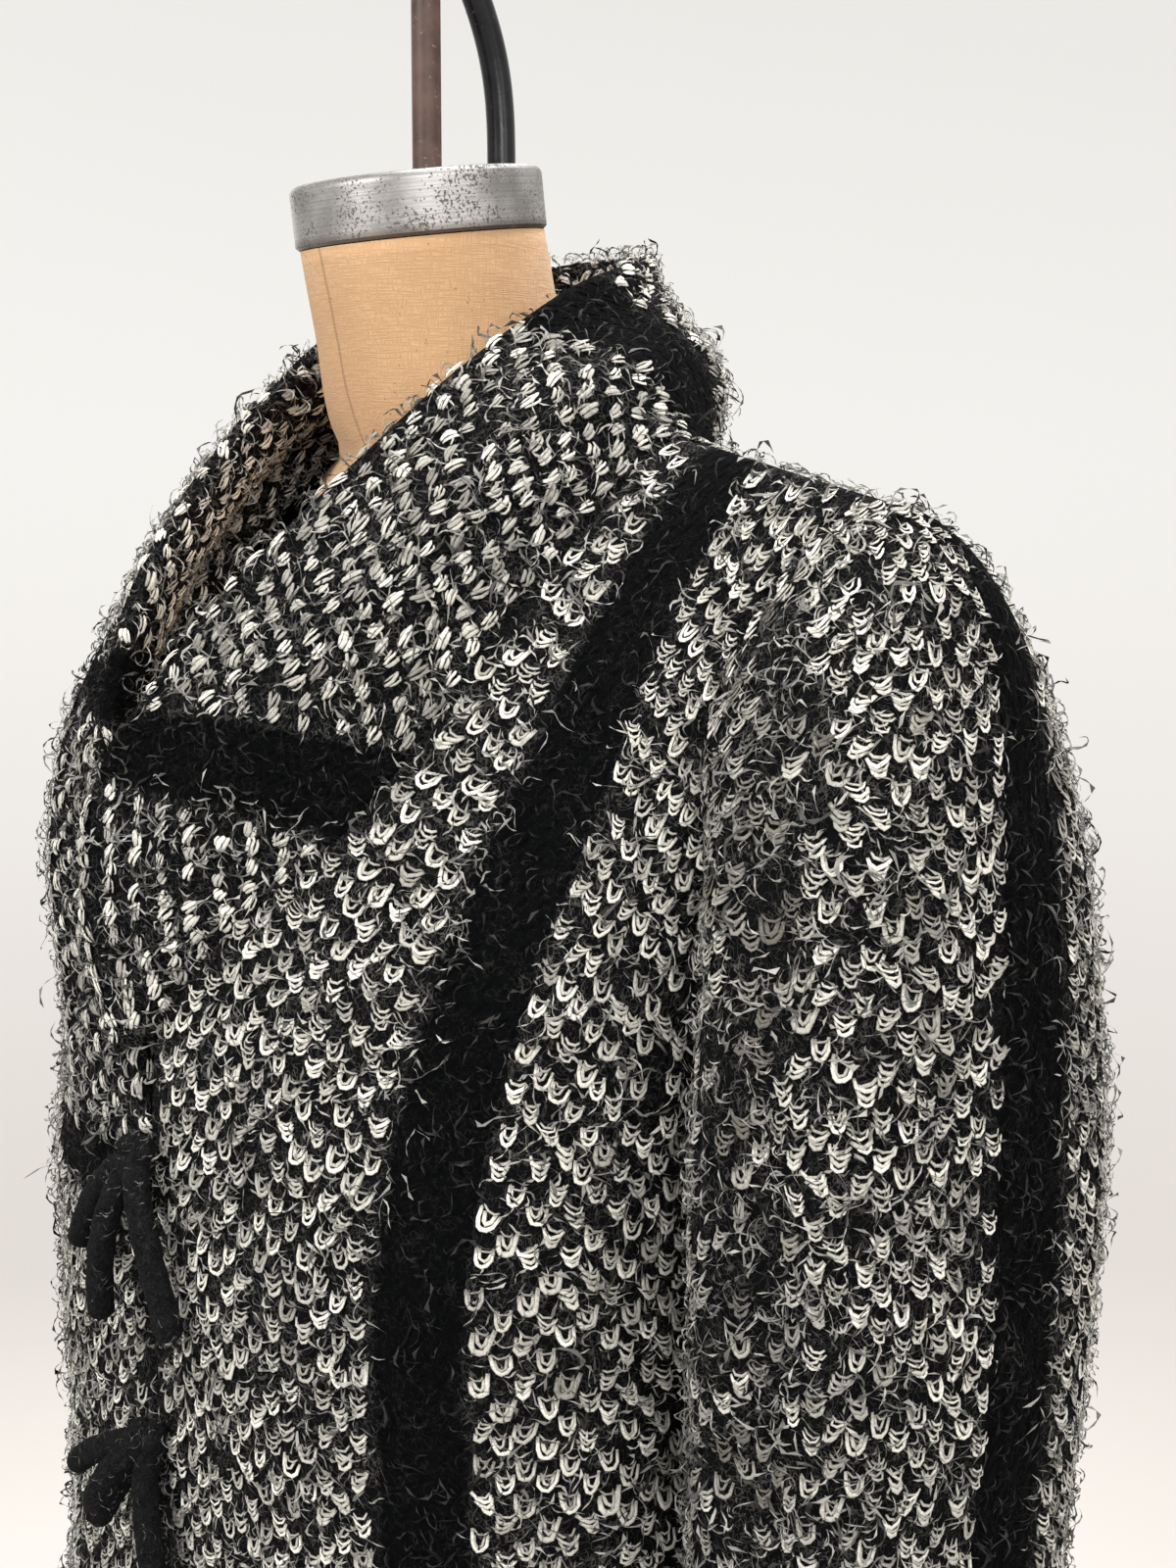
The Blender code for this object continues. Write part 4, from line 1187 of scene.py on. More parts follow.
def painted(finish, **wires):
    for label, wire in wires.items():
        socket = finish.node_tree.nodes["Principled BSDF"].inputs[label.replace("_", " ")]
        feed(finish.node_tree, socket, wire)
    return finish


# Tweed: black knitted ground with a haze of pale fibres, cream showing faintly where the loops sit.
tweed = {
    "black": (0.0036, 0.0038, 0.0043), "stripe": (0.0018, 0.0020, 0.0023), "fibre": (0.105, 0.10, 0.093),
    "cream": (0.30, 0.28, 0.235), "fibreScale": 190.0, "fibreWidth": 0.020, "sheen": 0.004,
}


def tweedFinish():
    finish, where, stitches = newFinish(
        "mohairTweed", Roughness=0.95, Sheen_Weight=tweed["sheen"], Sheen_Roughness=0.5,
        Specular_IOR_Level=0.02,
    )
    across, up, _ = partsOf(stitches)
    parity = calc("PINGPONG", calc("FLOOR", across) + calc("FLOOR", up), 1.0)
    aside, above = calc("FRACT", across) - 0.5, calc("FRACT", up) - 0.5
    distance = calc("SQRT", aside * aside + above * above)
    stripe = ramped(attributeOf(finish.node_tree, "stripe") + cloudy(where, 260.0) * 0.8, 0.15, 0.55)
    inside = calc("GREATER_THAN", across, knit["liningShift"] / 2)
    oval = (1.0 - ramped(distance, 0.30, 0.46)) * (1.0 - parity) * inside * (1.0 - stripe)
    web = effect(fibreWeb, where, Scale=tweed["fibreScale"], Thickness=tweed["fibreWidth"])
    patchy = ramped(cloudy(where, 55.0, 3.0), 0.35, 0.70)
    fibres = web * (patchy * 0.6 + 0.25) * (1.0 - stripe * 0.86)
    colour = mixed(oval * 0.85, mixed(stripe, tweed["black"], tweed["stripe"]), tweed["cream"])
    legs = abs(aside)
    chevron = calc("SINE", (up - legs * 1.3) * (2 * math.pi))
    height = chevron * 0.35 + (0.5 - legs) * 1.6 + web * 0.5
    colour = mixed(fibres, colour, tweed["fibre"])
    return painted(finish, Base_Color=colour, Normal=raised(height, 0.7, 0.0014))


# Cream yarn of the loops, each strand with its own twist lines, and painted shade that darkens its edges and
# ends.
creamTone = {"light": (0.90, 0.87, 0.78), "dark": (0.115, 0.105, 0.09), "gap": (0.020, 0.019, 0.017)}


def creamFinish():
    finish, where, ribbon = newFinish(
        "creamYarn", Roughness=0.85, Sheen_Weight=0.06, Sheen_Roughness=0.4, Specular_IOR_Level=0.2
    )
    along, across, _ = partsOf(ribbon)
    tone = clamped(attributeOf(finish.node_tree, "tone") * attributeOf(finish.node_tree, "shade"))
    body = mixed(tone, creamTone["dark"], creamTone["light"])
    # partly painted shade of a round strand at its edges and ends, partly the dark gap between strands
    edge = ramped(abs(across - 0.5), 0.26, 0.50)
    ends = ramped(abs(along - 0.5), 0.36, 0.5)
    twist = cloudy(where, 900.0, 2.0, 0.6, 1.5)
    shade = clamped(calc("MAXIMUM", edge * 0.75, ends * 0.5) + ramped(twist, 0.42, 0.70) * 0.35)
    return painted(finish, Base_Color=mixed(shade, body, creamTone["gap"]), Normal=raised(twist, 0.5, 0.0006))


hairTone = {"dark": (0.006, 0.006, 0.007), "light": (0.50, 0.485, 0.45)}


def hairFinish():
    finish, _, _ = newFinish("mohairHair", Roughness=0.75, Specular_IOR_Level=0.05)
    tone = attributeOf(finish.node_tree, "tone")
    return painted(finish, Base_Color=mixed(tone, hairTone["dark"], hairTone["light"]))


cordTone = {
    "dark": (0.0025, 0.0028, 0.0032), "light": (0.0090, 0.0098, 0.0105), "fibre": (0.050, 0.050, 0.049),
}


def cordFinish():
    finish, where, _ = newFinish(
        "feltedCord", Roughness=0.95, Sheen_Weight=0.006, Sheen_Roughness=0.5, Specular_IOR_Level=0.05
    )
    web = effect(fibreWeb, where, Scale=420.0, Thickness=0.04)
    lumps = cloudy(where, 190.0, 3.0, 0.6)
    colour = mixed(ramped(lumps, 0.3, 0.75), cordTone["dark"], cordTone["light"])
    height = lumps + web * 0.25
    colour = mixed(web * 0.30, colour, cordTone["fibre"])
    return painted(finish, Base_Color=colour, Normal=raised(height, 0.9, 0.0024))


# Linen of the form: fine weave, a seam down the front, faint wrinkles, specks and one small stain.
linen = {
    "cloth": (0.665, 0.430, 0.250), "deep": (0.500, 0.305, 0.165), "thread": (0.350, 0.205, 0.104),
    "speck": (0.16, 0.085, 0.040), "mark": (0.23, 0.125, 0.060),
    "stain": (0.004, -0.098, 1.337), "threads": 1500.0,
}


def linenFinish():
    finish, where, _ = newFinish(
        "formLinen", Roughness=0.88, Sheen_Weight=0.12, Sheen_Roughness=0.5, Specular_IOR_Level=0.22
    )
    x, y, _ = partsOf(where)
    warp = cloudy(placed(where, (1.0, 1.0, 0.06)), linen["threads"], 1.0)
    weft = cloudy(placed(where, (0.06, 0.06, 1.0)), linen["threads"], 1.0)
    weave = calc("MINIMUM", ramped(warp, 0.34, 0.62), ramped(weft, 0.34, 0.62))
    patches = ramped(cloudy(where, 9.0, 4.0, 0.6), 0.3, 0.75)
    cloth = mixed(patches, linen["deep"], linen["cloth"])
    colour = mixed(clamped(weave * 0.55 + 0.56), linen["thread"], cloth)
    colour = mixed(effect(specks, where, Scale=420.0, Amount=0.34) * 0.60, colour, linen["speck"])
    side = abs(x + (cloudy(where, 30.0, 1.0) - 0.5) * 0.004)
    seam = (1.0 - ramped(side, 0.0004, 0.0014)) * calc("LESS_THAN", y, 0.0)
    away = nodeIn(where.tree, "ShaderNodeVectorMath", operation="DISTANCE")
    feed(where.tree, away.inputs[0], where)
    away.inputs[1].default_value = linen["stain"]
    blot = Wire(where.tree, away.outputs["Value"]) + cloudy(where, 120.0, 2.0) * 0.006
    stain = 1.0 - ramped(blot, 0.004, 0.010)
    mark = calc("MAXIMUM", seam * 0.55, stain * 0.35)
    wrinkles = cloudy(placed(where, (1.0, 1.0, 0.35), (0, 0, 0), (0, 0.5, 0)), 26.0, 2.0, 0.45, 0.6)
    height = wrinkles * 4.5 + weave * 0.30 - seam * 0.35
    return painted(finish, Base_Color=mixed(mark, colour, linen["mark"]), Normal=raised(height, 0.5, 0.0014))


# The neck cap, turned and tilted with the neck: turning lines, pits and a lower edge that is darker towards
# the bottom.
cap = {
    "centre": (0.0, -0.0035, 1.5225), "tilt": 7.0, "radius": 0.060, "height": 0.029,
    "round": 0.004, "bevel": 0.0015,
    "slope": math.tan(math.radians(7.0)), "darkerFrom": 1.5245, "darkerTo": 1.5285,
    "dull": (0.23, 0.220, 0.212), "bright": (0.38, 0.370, 0.365), "line": (0.17, 0.163, 0.156),
    "pit": (0.10, 0.095, 0.09), "lowEdgeTone": (0.12, 0.10, 0.085),
}


def aluminiumFinish():
    finish, where, _ = newFinish("castAluminium", Metallic=0.85, Roughness=0.45)
    _, y, z = partsOf(where)
    height = z - y * cap["slope"]
    bands = nodeIn(where.tree, "ShaderNodeCombineXYZ")
    feed(where.tree, bands.inputs[2], height)
    lines = cloudy(Wire(where.tree, bands.outputs[0]), 900.0, 3.0, 0.7)
    cloud = cloudy(where, 45.0, 4.0, 0.6)
    pits = effect(specks, where, Scale=680.0, Amount=0.56)
    colour = mixed(ramped(cloud, 0.3, 0.7), cap["dull"], cap["bright"])
    colour = mixed(ramped(lines, 0.42, 0.62) * 0.50, colour, cap["line"])
    colour = mixed(pits * 0.8, colour, cap["pit"])
    # darker towards the cap's lower edge
    low = 1.0 - ramped(height, cap["darkerFrom"], cap["darkerTo"])
    return painted(
        finish, Base_Color=mixed(low * 0.75, colour, cap["lowEdgeTone"]),
        Roughness=cloud * 0.25 + pits * 0.3 + 0.33, Normal=raised(lines * 0.25 - pits, 0.6, 0.0005),
    )


# Paints and dark metals: light and dark tone, what shows where it is chipped, roughness and wear.
paints = {
    "brownPaint": ((0.098, 0.058, 0.046), (0.050, 0.029, 0.024), (0.24, 0.18, 0.15), 0.50, 0.38),
    "blackSteel": ((0.012, 0.012, 0.014), (0.006, 0.006, 0.007), (0.09, 0.08, 0.07), 0.26, 0.34),
    "castIron": ((0.034, 0.034, 0.036), (0.018, 0.018, 0.020), (0.09, 0.075, 0.065), 0.50, 0.32),
}


def paintFinish(name):
    light, dark, chip, roughness, wear = paints[name]
    finish, where, _ = newFinish(name, Roughness=roughness, Metallic=0.0, Specular_IOR_Level=0.25)
    cloud = cloudy(where, 60.0, 4.0, 0.6)
    spots = effect(specks, where, Scale=480.0, Amount=wear)
    colour = mixed(spots * 0.7, mixed(ramped(cloud, 0.3, 0.7), dark, light), chip)
    relief = raised(cloud - spots, 0.35, 0.0005)
    return painted(finish, Base_Color=colour, Roughness=cloud * 0.3 + (roughness - 0.15), Normal=relief)


mohairTweed, creamYarn, mohairHair, feltedCord = tweedFinish(), creamFinish(), hairFinish(), cordFinish()
formLinen, castAluminium = linenFinish(), aluminiumFinish()
brownPaint, blackSteel, castIron = (paintFinish(name) for name in paints)
print("finishes ready")


def ringFaces(levels, sides, first=0):
    # quads between rings of points, each ring above the last
    faces = []
    for i in range(levels - 1):
        low, high = first + i * sides, first + (i + 1) * sides
        faces += [(low + j, low + (j + 1) % sides, high + (j + 1) % sides, high + j) for j in range(sides)]
    return faces


def loftPiece(name, rings, bottom, top, finish):
    # a closed skin through the rings, with one point in the middle of each end
    levels, sides = len(rings), len(rings[0])
    points = [point for ring in rings for point in ring] + [bottom, top]
    foot, head, last = levels * sides, levels * sides + 1, (levels - 1) * sides
    faces = ringFaces(levels, sides)
    for j in range(sides):
        k = (j + 1) % sides
        faces += [(foot, k, j), (head, last + j, last + k)]
    return meshPiece(name, points, faces, finish)


# Dress form: a smooth loft through its rings, closed below and under the cap.
formCut = {"sides": 72, "levels": 110, "tiltFrom": 1.46}


def formBody():
    angles = np.linspace(0, 2 * math.pi, formCut["sides"], endpoint=False)
    rings = formRings["z"]
    heights = np.unique(np.concatenate([rings, np.linspace(rings[0], rings[-1], formCut["levels"])]))
    points = []
    for z in heights:
        width, front, back, centre, power = (
            curveThrough(rings, formRings[name], z, steady=True)
            for name in ("halfWidth", "front", "back", "centreY", "power")
        )
        x, y = superellipse(angles, width, 1.0, power)
        y = np.where(y < 0, y * front, y * back) + centre
        tilted = easeInOut((z - formCut["tiltFrom"]) / (rings[-1] - formCut["tiltFrom"]))
        lift = cap["slope"] * (y - cap["centre"][1]) * tilted
        points.append(np.stack([x, y, z + lift], axis=1))
    bottom = (0, points[0][:, 1].mean(), heights[0])
    top = (0, points[-1][:, 1].mean(), heights[-1])
    return loftPiece("form_body", points, bottom, top, formLinen)


# Turned pieces and bars: profiles of radius and height, and round bars along a path.
def circle(radius, z, sides):
    angles = np.linspace(0, 2 * math.pi, sides, endpoint=False)
    return [(radius * math.cos(angle), radius * math.sin(angle), z) for angle in angles]


def turnedPiece(name, profile, sides, finish, place=Matrix.Identity(4)):
    rings = [[place @ Vector(point) for point in circle(radius, z, sides)] for radius, z in profile[1:-1]]
    bottom, top = (place @ Vector((0, 0, profile[end][1])) for end in (0, -1))
    piece = loftPiece(name, rings, bottom, top, finish)
    piece.data.set_sharp_from_angle(angle=math.radians(hardware["turnedCrease"]))
    return piece


def barRings(path, radii, sides):
    # rings along the path, with the cross-section carried along without twisting
    path = [Vector(point) for point in path]
    side = Vector((0, 1, 0)) if abs((path[1] - path[0]).normalized().y) < 0.9 else Vector((1, 0, 0))
    points = []
    last = len(path) - 1
    for i, point in enumerate(path):
        ahead = (path[min(i + 1, last)] - path[max(i - 1, 0)]).normalized()
        side = (side - ahead * side.dot(ahead)).normalized()
        other = ahead.cross(side)
        for angle in np.linspace(0, 2 * math.pi, sides, endpoint=False):
            points.append(point + radii[i] * (side * math.cos(angle) + other * math.sin(angle)))
    ends = [tuple(range(sides - 1, -1, -1)), tuple(last * sides + j for j in range(sides))]
    return points, ringFaces(last + 1, sides) + ends


hardware = {
    "rodFrom": (0, 0, 1.5533), "rodTo": (0, 0, 1.690), "rodRadius": 0.007,
    "barPath": (
        (0, 0.044, 1.5587), (0, 0.044, 1.590), (0, 0.044, 1.618), (0, 0.028, 1.640), (0, 0.0138, 1.669),
    ),
    "poleRadius": 0.0125, "poleFrom": (0, 0, 0.0852), "poleTo": (0, 0, 0.7898), "bevel": 0.0008,
    "turnedSides": 128, "rodSides": 36, "barSides": 28, "barSteps": 33, "turnedCrease": 38, "barCrease": 50,
    "base": (
        (0, 0), (0.203, 0), (0.205, 0.002), (0.205, 0.009), (0.201, 0.012), (0.160, 0.0165), (0.123, 0.022),
        (0.090, 0.0262), (0.064, 0.032), (0.048, 0.039), (0.037, 0.048), (0.030, 0.055), (0.027, 0.062),
        (0.026, 0.082), (0.023, 0.085), (0, 0.085),
    ),
}


def rodPiece(name, end, finish):
    start, radius = hardware[end + "From"], hardware[end + "Radius"]
    length, slim = hardware[end + "To"][2] - start[2], radius - hardware["bevel"]
    profile = [(0, 0), (slim, 0), (radius, hardware["bevel"])]
    profile += [(radius, length - hardware["bevel"]), (slim, length), (0, length)]
    return turnedPiece(name, profile, hardware["rodSides"], finish, Matrix.Translation(start))


def bentBar():
    path = [bezierAt(hardware["barPath"], t) for t in np.linspace(0, 1, hardware["barSteps"])]
    points, faces = barRings(path, [hardware["rodRadius"]] * len(path), hardware["barSides"])
    bent = meshPiece("bar_bent", points, faces, blackSteel)
    bent.data.set_sharp_from_angle(angle=math.radians(hardware["barCrease"]))
    return bent


def makeHardware():
    tilt = Matrix.Translation(cap["centre"]) @ Matrix.Rotation(math.radians(cap["tilt"]), 4, "X")
    rim = cap["radius"] - cap["round"]
    profile = [(0, 0), (cap["radius"] - cap["bevel"], 0), (cap["radius"], cap["bevel"])]
    for a in np.linspace(0, math.pi / 2, 7):
        profile.append((rim + cap["round"] * math.cos(a), cap["height"] - cap["round"] * (1 - math.sin(a))))
    profile.append((0, cap["height"]))
    sides = hardware["turnedSides"]
    return {
        "neck_cap": turnedPiece("cap_turned", profile, sides, castAluminium, tilt),
        "hanging_rod": rodPiece("rod_painted", "rod", brownPaint),
        "curved_bar": bentBar(),
        "stand_pole": rodPiece("pole_painted", "pole", brownPaint),
        "stand_base": turnedPiece("base_cast", hardware["base"], sides, castIron),
    }


# Ties: a knot of felted cord at the front edge. Each blunt end is its bend and tip from the knot.
ties = {
    "radius": 0.0062, "knotLoop": 0.0071, "knotPart": 0.86, "aside": 0.005, "fuzz": 420, "steps": 15,
    "tie_upper": {
        "at": (-0.1684, 1.105), "piece": "cord_tie_upper",
        "ends": (
            ((-0.018, -0.011, -0.008), (-0.034, -0.012, -0.044)),
            ((-0.003, -0.021, -0.022), (-0.017, -0.011, -0.074)),
            ((0.017, -0.013, -0.010), (0.033, -0.003, -0.073)),
        ),
    },
    "tie_lower": {
        "at": (-0.1659, 0.970), "piece": "cord_tie_lower",
        "ends": (
            ((-0.024, -0.012, -0.004), (-0.046, -0.013, -0.022)),
            ((-0.018, -0.006, -0.022), (-0.036, -0.008, -0.047)),
            ((-0.004, -0.026, -0.008), (-0.014, -0.020, -0.034)),
            ((0.008, -0.010, -0.020), (0.013, -0.005, -0.064)),
        ),
    },
}


def cordTie(node):
    tie = ties[node]
    centre = np.array((ties["aside"], *tie["at"]))
    points, faces = [], []

    def addBar(path, radii):
        more, rings = barRings(path, radii, 16)
        faces.extend(tuple(v + len(points) for v in face) for face in rings)
        points.extend(more)

    turns = np.linspace(0, 2 * math.pi, 61)
    loop = np.stack([
        1.02 * (np.sin(turns) + 2 * np.sin(2 * turns)),
        -0.806 * np.sin(3 * turns),
        np.cos(turns) - 2 * np.cos(2 * turns),
    ], axis=1)
    addBar(centre + loop * ties["knotLoop"] / 3, [ties["radius"] * ties["knotPart"]] * len(turns))
    for way, tip in tie["ends"]:
        controls = (np.zeros(3), np.array(way), np.array(tip))
        path = [centre + bezierAt(controls, t) for t in np.linspace(0, 1, ties["steps"])]
        ahead = unitOf(path[-1] - path[-2])
        radii = [ties["radius"] * (1 + 0.05 * math.sin(2.3 * n + 40 * tip[0])) for n in range(ties["steps"])]
        radii += [ties["radius"] * part for part in (0.86, 0.62, 0.30)]
        path += [path[-1] + ahead * ties["radius"] * part for part in (0.28, 0.46, 0.56)]
        addBar(path, radii)
    cord = meshPiece(tie["piece"], points, faces, feltedCord)
    rng = np.random.default_rng(len(points))
    count, corners = ties["fuzz"], cord.data.vertices
    chosen = [corners[int(v)] for v in rng.integers(0, len(corners), count)]
    places = {
        "at": np.array([v.co for v in chosen]), "outward": np.array([v.normal for v in chosen]),
        "upward": rng.normal(0, 1, (count, 3)), "size": np.full((count, 3), 0.55),
        "kind": rng.integers(0, hairKinds["haze"], count), "tone": rng.uniform(0.0, 0.25, count),
    }
    fuzz = scatterYarn(tie["piece"] + "_fuzz", places, hazeHairs, mohairHair, math.pi, 0.4, 0.3, len(points))
    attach(fuzz, "root")
    return cord


# The coat's pieces: walls first, then stitches and hairs. Flat sizes in metres, areas in square metres.
coatPieces = {
    "coat_front_left": {"wall": "front_left_knit", "flat": (0.300, 1.02), "area": 0.285},
    "coat_front_right": {"wall": "front_right_knit", "flat": (0.300, 1.02), "area": 0.268},
    "coat_back": {"wall": "back_knit", "flat": (0.600, 1.03), "area": 0.590},
    "sleeve_left": {"wall": "sleeve_left_knit", "flat": (0.520, 0.60), "area": 0.250},
    "sleeve_right": {"wall": "sleeve_right_knit", "flat": (0.520, 0.60), "area": 0.250},
    "collar": {"wall": "collar_knit", "flat": (0.120, 1.30), "area": 0.140},
}
loopWeights = {
    "front": (0.42, 0.22, 0.10, 0.10, 0.16),
    "back": (0.30, 0.34, 0.12, 0.12, 0.12),
    "sleeve": (0.16, 0.46, 0.16, 0.14, 0.08),
}
hairAmounts = {"front": (6000, 1300), "back": (7800, 1800), "sleeve": (7000, 1600), "collar": (7800, 1800)}

sleeveLeftWall = sleeveField(62, 26, 40, False)
sleeveLeftWales = sleeveField(sleeveCut["wales"], 60, 90, True)
fields = {
    "coat_front_left": frontCloth(leftNeckline),
    "coat_front_right": mirroredField(frontCloth(rightNeckline)),
    "coat_back": backCloth(),
    "sleeve_left": sleeveLeftWall,
    "sleeve_right": mirroredField(sleeveLeftWall),
}
waleFields = {
    "coat_front_left": (frontWales(leftNeckline), "front", 0),
    "coat_front_right": (mirroredField(frontWales(rightNeckline)), "front", 1),
    "coat_back": (backWales(), "back", 0),
    "sleeve_left": (sleeveLeftWales, "sleeve", 0),
    "sleeve_right": (mirroredField(sleeveLeftWales), "sleeve", 1),
}
extras = {}
walls = {}
for node, field in fields.items():
    walls[node] = clothWall(coatPieces[node]["wall"], field, coatCut["wall"], mohairTweed)

# Collar stitches: size of one dash and one course, and how much painted light brightens the inside and the
# lower end.
collarKnit = {
    "dash": 0.0165, "course": 0.0074, "endRoom": 0.006, "uvDash": 0.0095, "uvCourse": 0.0060,
    "dropped": 0.06, "insidePaintedLight": 0.30, "endPaintedLight": 0.22, "endPart": 0.10, "deep": 0.009, "lift": 0.0004,
}
loop = collarLoop()
collarRows, collarColumns = loop.shape[:2]
alongCollar = arcsUp(loop[collarCut["rows"] - 1])


def collarBandDepths():
    # how many stitches inside a black band, negative outside
    depths = np.full(collarColumns, -9.0)
    place = alongCollar / alongCollar[-1]
    for low, high in collarCut["blackBands"]:
        inside = np.minimum(place - low, high - place) * alongCollar[-1] / knit["waleWidth"]
        depths = np.maximum(depths, inside)
    return depths


collarBands = collarBandDepths()


def collarWall():
    # one closed skin: outside, rolled edge and inside, joined at the seam and at both ends
    around = arcsUp(loop)
    around = np.concatenate([around, around[-1:] + collarKnit["uvCourse"]])
    faces, uvs = [], []

    def uvAt(i, j):
        return alongCollar[j] / collarKnit["uvDash"], around[i, j] / collarKnit["uvCourse"]

    for i in range(collarRows):
        for j in range(collarColumns - 1):
            corners = [(i, j), (i, j + 1), (i + 1, j + 1), (i + 1, j)]
            faces.append([(a % collarRows) * collarColumns + b for a, b in corners])
            uvs.append([uvAt(a, b) for a, b in corners])
    for j, turn in ((0, 1), (collarColumns - 1, -1)):
        for i in range(collarRows // 2):
            a, b, c, d = i, i + 1, collarRows - 2 - i, collarRows - 1 - i
            ring = ((a, b, c, d) if b < c else (a, b, d))[::turn]
            faces.append([v * collarColumns + j for v in ring])
            uvs.append([uvAt(v, j) for v in ring])
    stripes = np.tile(collarBands, (collarRows, 1))
    return meshPiece(coatPieces["collar"]["wall"], loop.reshape(-1, 3), faces, mohairTweed, uvs, stripes)


walls["collar"] = collarWall()


def collarPlaces(rng):
    # dashes with their long side along the free edge, on the outside, the roll and the inside
    facings = surfaceNormals(loop)
    found = []
    length, room = alongCollar[-1], collarKnit["endRoom"]
    dash, course = collarKnit["dash"], collarKnit["course"]
    for n, place in enumerate(np.arange(room, length - room, dash / 2)):
        column = np.interp(place, alongCollar, np.arange(collarColumns))
        j = min(int(column), collarColumns - 2)
        part = column - j
        if collarBands[j] > -0.2:
            continue
        line = loop[:, j] * (1 - part) + loop[:, j + 1] * part
        aside = unitOf(loop[:, j + 1] - loop[:, j])
        facing = facings[:, j]
        run = arcsUp(line)
        for c in range(n % 2, int((run[-1] - 0.004) / course), 2):
            spot = 0.003 + (c + 0.5 + rng.normal(0, 0.12)) * course
            row = np.interp(spot, run, np.arange(len(run)))
            i = min(int(row), len(run) - 2)
            f = row - i
            at = line[i] * (1 - f) + line[i + 1] * f + aside[i] * rng.normal(0, 0.0011)
            outward = unitOf(facing[i] * (1 - f) + facing[i + 1] * f)
            upward = unitOf(np.cross(outward, aside[i]))
            if rng.random() < collarKnit["dropped"]:
                continue
            size = (dash * rng.uniform(0.44, 0.62), course * rng.uniform(0.80, 1.12), collarKnit["deep"])
            kind = rng.integers(0, len(dashDesigns) * stitchCut["variants"])
            # bright is painted light: on the roll and the inside, and on the lower end that faces the key
            # light
            bright = 0.0
            if i >= collarCut["rows"] - 1:
                bright = collarKnit["insidePaintedLight"]
            elif place < collarKnit["endPart"] * length:
                bright = collarKnit["endPaintedLight"]
            tone = min(1.0, rng.uniform(0.20, 1.0) + bright)
            found.append((at + outward * collarKnit["lift"], outward, upward, size, kind, tone))
    return {key: np.array(values) for key, values in zip(placeKeys, zip(*found))}


# Painted shade in the sleeve's fold beside the body (most, then angle and spread), and the long slanted loops
# round the armhole.
valleyPaintedShade = {"most": 0.50, "places": ((1.50, 0.42), (2.30, 0.45))}
armholeLoops = {"down": 0.0085, "wide": 0.0085, "tall": 0.0150, "deep": 0.010, "slant": 0.55, "lift": 0.0008}


def valleyShade(node):
    # painted shade where the sleeve folds in beside the body: fewer and darker cream stitches there
    places = evenTurns(sleeveCut["wales"] * 2)[1::2]
    if node == "sleeve_right":
        places = places[::-1]
    dull = sum(
        valleyPaintedShade["most"] * np.exp(-(((places - at) / spread) ** 2)) for at, spread in valleyPaintedShade["places"]
    )
    return lambda k, up: dull[k]


def seamPlaces(field, rng):
    # longer slanted loops where the sleeve is picked up round the armhole
    outer, down, cut = field["outer"], arcsUp(field["outer"]), armholeLoops
    found = []
    for k in range(0, outer.shape[1], 2):
        if field["stripe"][0, k] > 0:
            continue
        row = int(np.searchsorted(down[:, k], cut["down"] + rng.normal(0, 0.001)))
        outward = field["normals"][row, k]
        upward = unitOf(outer[row - 1, k] - outer[row + 1, k])
        slant = cut["slant"] * np.sign(outer[row, k, 0]) * np.cross(outward, upward)
        size = (cut["wide"] * rng.uniform(0.8, 1.1), cut["tall"] * rng.uniform(0.85, 1.1), cut["deep"])
        kind = rng.integers(stitchCut["variants"], 4 * stitchCut["variants"])
        tone = rng.uniform(0.55, 1.0)
        at = outer[row, k] + outward * cut["lift"]
        found.append((at, outward, unitOf(upward - slant), size, kind, tone))
    return {key: np.array(values) for key, values in zip(placeKeys, zip(*found))}


def dress():
    for n, (node, (field, cut, offset)) in enumerate(waleFields.items()):
        rng = np.random.default_rng(100 + n)
        dimming = valleyShade(node) if cut == "sleeve" else evenly
        places = stitchPlaces(field, rng, loopWeights[cut], offset, dimming)
        if cut == "sleeve":
            seam = seamPlaces(field, rng)
            places = {key: np.concatenate([values, seam[key]]) for key, values in places.items()}
        halves = [("", np.ones(len(places["at"]), bool))]
        if cut == "back":
            halves = [("_left", places["at"][:, 0] > 0), ("_right", places["at"][:, 0] <= 0)]
        extras[node] = []
        for label, part in halves:
            chosen = {key: values[part] for key, values in places.items()}
            name = coatPieces[node]["wall"].replace("_knit", "_stitches") + label
            extras[node].append(scatterYarn(name, chosen, loopPatterns, creamYarn, 0.22, 0.12, 0.10, 10 + n))
    places = collarPlaces(np.random.default_rng(200))
    extras["collar"] = [scatterYarn("collar_stitches", places, dashPatterns, creamYarn, 0.40, 0.14, 0.12, 30)]
    hairFields = {node: (fields[node], cut) for node, (_, cut, _) in waleFields.items()}
    bands = np.tile(collarBands, (collarRows, 1))
    hairFields["collar"] = (fieldOf(loop, np.arange(collarColumns), bands), "collar")
    for n, (node, (field, cut)) in enumerate(hairFields.items()):
        rng = np.random.default_rng(300 + n)
        haze, stray = hairAmounts[cut]
        near = hairPlaces(field, rng, haze, hairKinds["haze"], (0.05, 0.80), 0.60)
        far = hairPlaces(field, rng, stray, hairKinds["stray"], (0.0, 0.50), 0.50)
        stem = coatPieces[node]["wall"].replace("_knit", "")
        for label, places, hairs, lean, seed in (
            ("_haze", near, hazeHairs, 0.20, 40), ("_strays", far, strayHairs, 0.35, 60)
        ):
            made = scatterYarn(stem + label, places, hairs, mohairHair, math.pi, lean, 0.30, seed + n)
            extras[node].append(made)


dress()
for node, wall in walls.items():
    cut, extra = coatPieces[node], extras[node]
    for piece in [wall] + extra:
        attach(piece, "root")
    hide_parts(node)
print("coat dressed")

